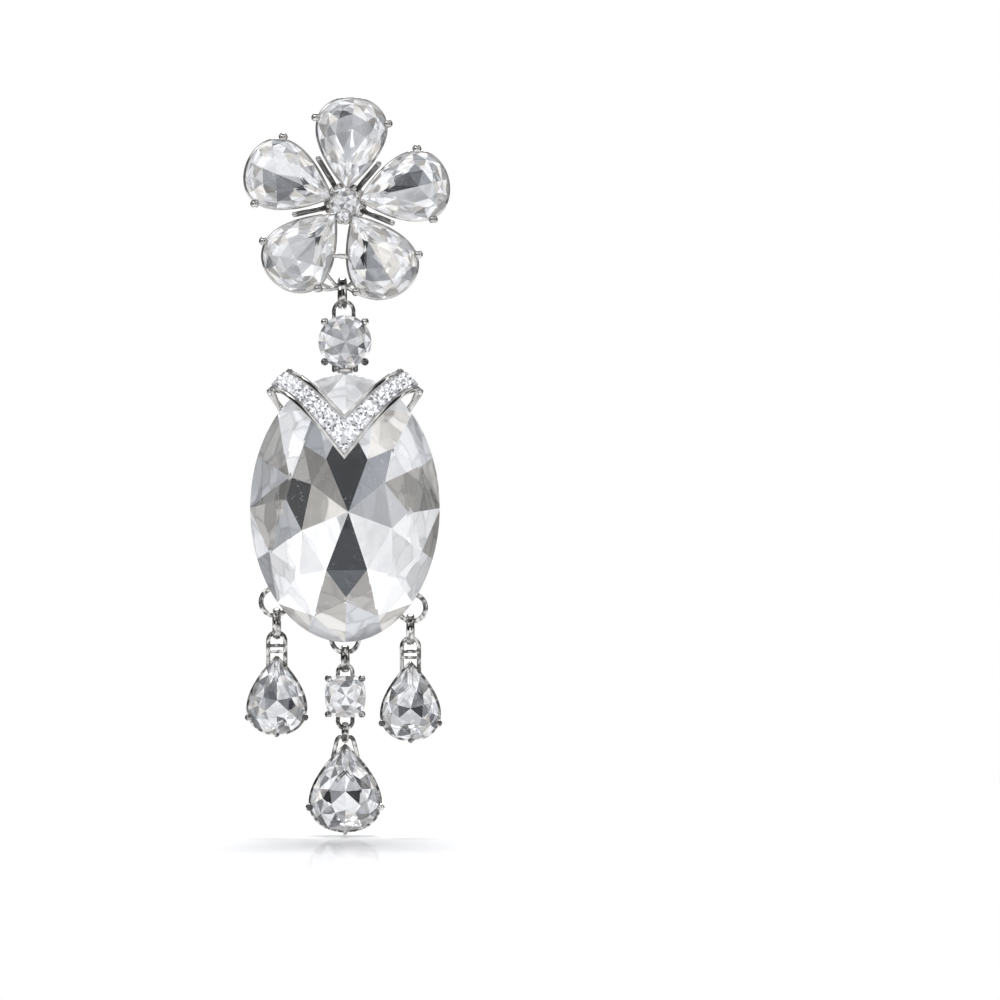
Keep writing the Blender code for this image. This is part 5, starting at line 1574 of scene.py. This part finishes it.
def drop(context, name, metal, stone, cut, to_drop):
    """A setting and its stone."""
    metal_piece(context, name + "_metal", metal, to_drop, "pendant", name + "_setting")
    crystal_piece(context, name + "_crystal", stone, cut, to_drop, "pendant", name + "_stone")


class EARRING_OT_side_drops(Operator):
    """Build the two side drops: jump ring, claw setting with a long bail, and pear stone"""
    bl_idname = "earring.side_drops"
    bl_label = "Side drops"

    def execute(self, context):
        sizes = context.scene.earring_sizes
        for name, side in (("left", -1), ("right", 1)):
            x = side * DROP_REACH[name]
            place = vec(x, HANG_Y, SIDE_RING_Z[name])
            jump_ring(context, name, SIDE_RING, place)
            drop(context, name + "_drop", side_setting(sizes), SIDE, SIDE_CUTS[name],
                 front(x, HANG_Y, SIDE_DROP_Z[name]))
        return {"FINISHED"}


class EARRING_OT_centre_chain(Operator):
    """Build the centre chain: rings, the cushion stone in its setting, and the pear drop"""
    bl_idname = "earring.centre_chain"
    bl_label = "Centre chain"

    def execute(self, context):
        sizes = context.scene.earring_sizes
        for name, measures, z in (("centre", CENTRE_RING, CENTRE_RING_Z),
                                  ("lower", LOWER_RING, LOWER_RING_Z)):
            jump_ring(context, name, measures, vec(0, HANG_Y, z))
        drop(context, "small", small_setting(sizes), SMALL, CUSHION_CUT, front(0, HANG_Y, SMALL_Z))
        drop(context, "centre_drop", centre_drop_setting(sizes), DROP, DROP_CUT,
             front(0, HANG_Y, DROP_Z))
        return {"FINISHED"}


# Studio

def add_object(name, data):
    """Puts a light, camera or mesh into the scene."""
    item = bpy.data.objects.new(name, data)
    bpy.context.scene.collection.objects.link(item)
    return item


def soft_light(name, place, width, height, power):
    """Square or oblong light at a place, turned to the earring."""
    light = bpy.data.lights.new(name, "AREA")
    light.shape = "RECTANGLE"
    light.size = width
    light.size_y = height
    light.energy = power
    item = add_object(name, light)
    item.location = place
    item.rotation_euler = (Vector(AIM) - Vector(place)).to_track_quat("-Z", "Y").to_euler()


def back_light(energy):
    """Wide light from behind and above, which throws the soft shadow forwards."""
    sun = bpy.data.lights.new("back", "SUN")
    sun.energy = energy
    sun.angle = math.radians(26)
    add_object("back", sun).rotation_euler = (math.radians(-40), 0.0, 0.0)


def front_camera(studio):
    """Camera that looks straight at the middle of the picture."""
    camera = bpy.data.cameras.new("camera")
    camera.sensor_width = SENSOR
    camera.lens = SENSOR * studio.distance / (PICTURE * studio.pixel)
    camera.clip_end = 20.0
    item = add_object("camera", camera)
    item.location = ((PICTURE / 2 - ORIGIN_PIXEL[0]) * studio.pixel, HINGE_Y - studio.distance,
                     (ORIGIN_PIXEL[1] - PICTURE / 2) * studio.pixel)
    item.rotation_euler = (math.pi / 2, 0.0, 0.0)
    return item


def square_floor(reach, level):
    """Square of floor at a level."""
    mesh = bpy.data.meshes.new("floor")
    corners = [(x * reach, y * reach, level) for x, y in ((-1, -1), (1, -1), (1, 1), (-1, 1))]
    mesh.from_pydata(corners, [], [(0, 1, 2, 3)])
    mesh.materials.append(white_floor())
    return add_object("floor", mesh)


def white_floor():
    """Pale floor with a faint sheen."""
    n = Nodes(bpy.data.materials.new("white_floor"))
    grain = n.noise(40.0, 2.0)
    pale = n.ramp(grain, (0.0, (0.93, 0.93, 0.94)), (1.0, (0.96, 0.96, 0.965)))
    matt = n.node("BsdfDiffuse", Color=pale)
    glow = n.node("Emission", Color=WHITE, Strength=0.06)
    gloss = n.node("BsdfGlossy", Color=WHITE, Roughness=0.02)
    lit = n.node("AddShader", in_0=matt.outputs[0], in_1=glow.outputs[0])
    both = n.node("MixShader", Fac=0.16, in_1=lit.outputs[0], in_2=gloss.outputs[0])
    return n.finish(both)


def studio_world(scene, level):
    """White to the camera. In reflections the studio is bright ahead and above, dark beside that,
    grey at the sides and dark behind apart from a white patch far off."""
    n = Nodes(bpy.data.worlds.new("studio"))
    way = n.node("SeparateXYZ", in_0=n.out(n.node("TexCoord"), "Generated"))
    x, y, z = (n.out(way, axis) for axis in "XYZ")
    aside = n.math("ABSOLUTE", x)
    ahead = 1.15 * (1 - n.eased(aside, 0.16, 0.3)) + level * n.eased(aside, 0.7, 0.9)
    above = n.eased(z, 0.45, 0.52) * (1 - n.eased(z, 0.8, 0.88))
    front_level = ahead * (1 - n.eased(z, 0.28, 0.4)) + above + 0.04
    behind = n.eased(y, 0.0, 0.25)
    patch = n.eased(y, 0.93, 0.98)
    back_level = 0.05 + 0.35 * n.eased(z, 0.1, 0.5)
    lit = n.node("Background", Color=(0.98, 0.99, 1.0),
                 Strength=front_level * (1 - behind) + back_level * behind + patch)
    white = n.node("Background", Color=WHITE, Strength=1.0)
    seen = n.node("LightPath").outputs["Is Camera Ray"]
    mixed = n.node("MixShader", Fac=seen, in_1=lit.outputs[0], in_2=white.outputs[0])
    scene.world = n.finish(mixed)


class EARRING_OT_studio(Operator):
    """Set up the pale floor, the soft lights and the camera"""
    bl_idname = "earring.studio"
    bl_label = "Studio"

    def execute(self, context):
        scene = context.scene
        studio = scene.earring_studio
        scene.view_settings.view_transform = "Standard"
        scene.camera = front_camera(studio)
        ground = square_floor(studio.floor_reach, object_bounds()[0][2] - studio.floor_gap)
        ground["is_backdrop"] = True
        soft_light("key", (-0.45, -0.55, 0.45), 0.3, 0.3, 0.9 * studio.light)
        soft_light("fill", (0.6, -0.45, 0.1), 0.12, 0.5, 0.4 * studio.light)
        back_light(studio.back_light)
        studio_world(scene, studio.surroundings)
        return {"FINISHED"}


STEPS = (EARRING_OT_flower_frame, EARRING_OT_flower_stones, EARRING_OT_link, EARRING_OT_oval_frame,
         EARRING_OT_oval_stone, EARRING_OT_pave, EARRING_OT_side_drops, EARRING_OT_centre_chain,
         EARRING_OT_studio)


class EARRING_PT_panel(Panel):
    """Steps and settings of the earring"""
    bl_idname = "EARRING_PT_panel"
    bl_label = "Chandelier Earring"
    bl_space_type = "VIEW_3D"
    bl_region_type = "UI"
    bl_category = "Earring"

    def draw(self, context):
        layout = self.layout
        for step in STEPS:
            layout.operator(step.bl_idname)
        for group in (context.scene.earring_sizes, context.scene.earring_finish,
                      context.scene.earring_studio):
            box = layout.box()
            for name in group.bl_rna.properties.keys():
                if name not in {"rna_type", "name"}:
                    box.prop(group, name)


GROUPS = {"earring_sizes": EarringSizes, "earring_finish": EarringFinish,
          "earring_studio": EarringStudio}


def register():
    for group in GROUPS.values():
        bpy.utils.register_class(group)
    for name, group in GROUPS.items():
        setattr(bpy.types.Scene, name, PointerProperty(type=group))
    for step in STEPS:
        bpy.utils.register_class(step)
    bpy.utils.register_class(EARRING_PT_panel)


def unregister():
    bpy.utils.unregister_class(EARRING_PT_panel)
    for step in reversed(STEPS):
        bpy.utils.unregister_class(step)
    for name, group in GROUPS.items():
        delattr(bpy.types.Scene, name)
        bpy.utils.unregister_class(group)


def main():
    """Registers the add-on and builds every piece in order."""
    register()
    for step in STEPS:
        area, name = step.bl_idname.split(".")
        getattr(getattr(bpy.ops, area), name)()


if __name__ == "__main__":
    main()
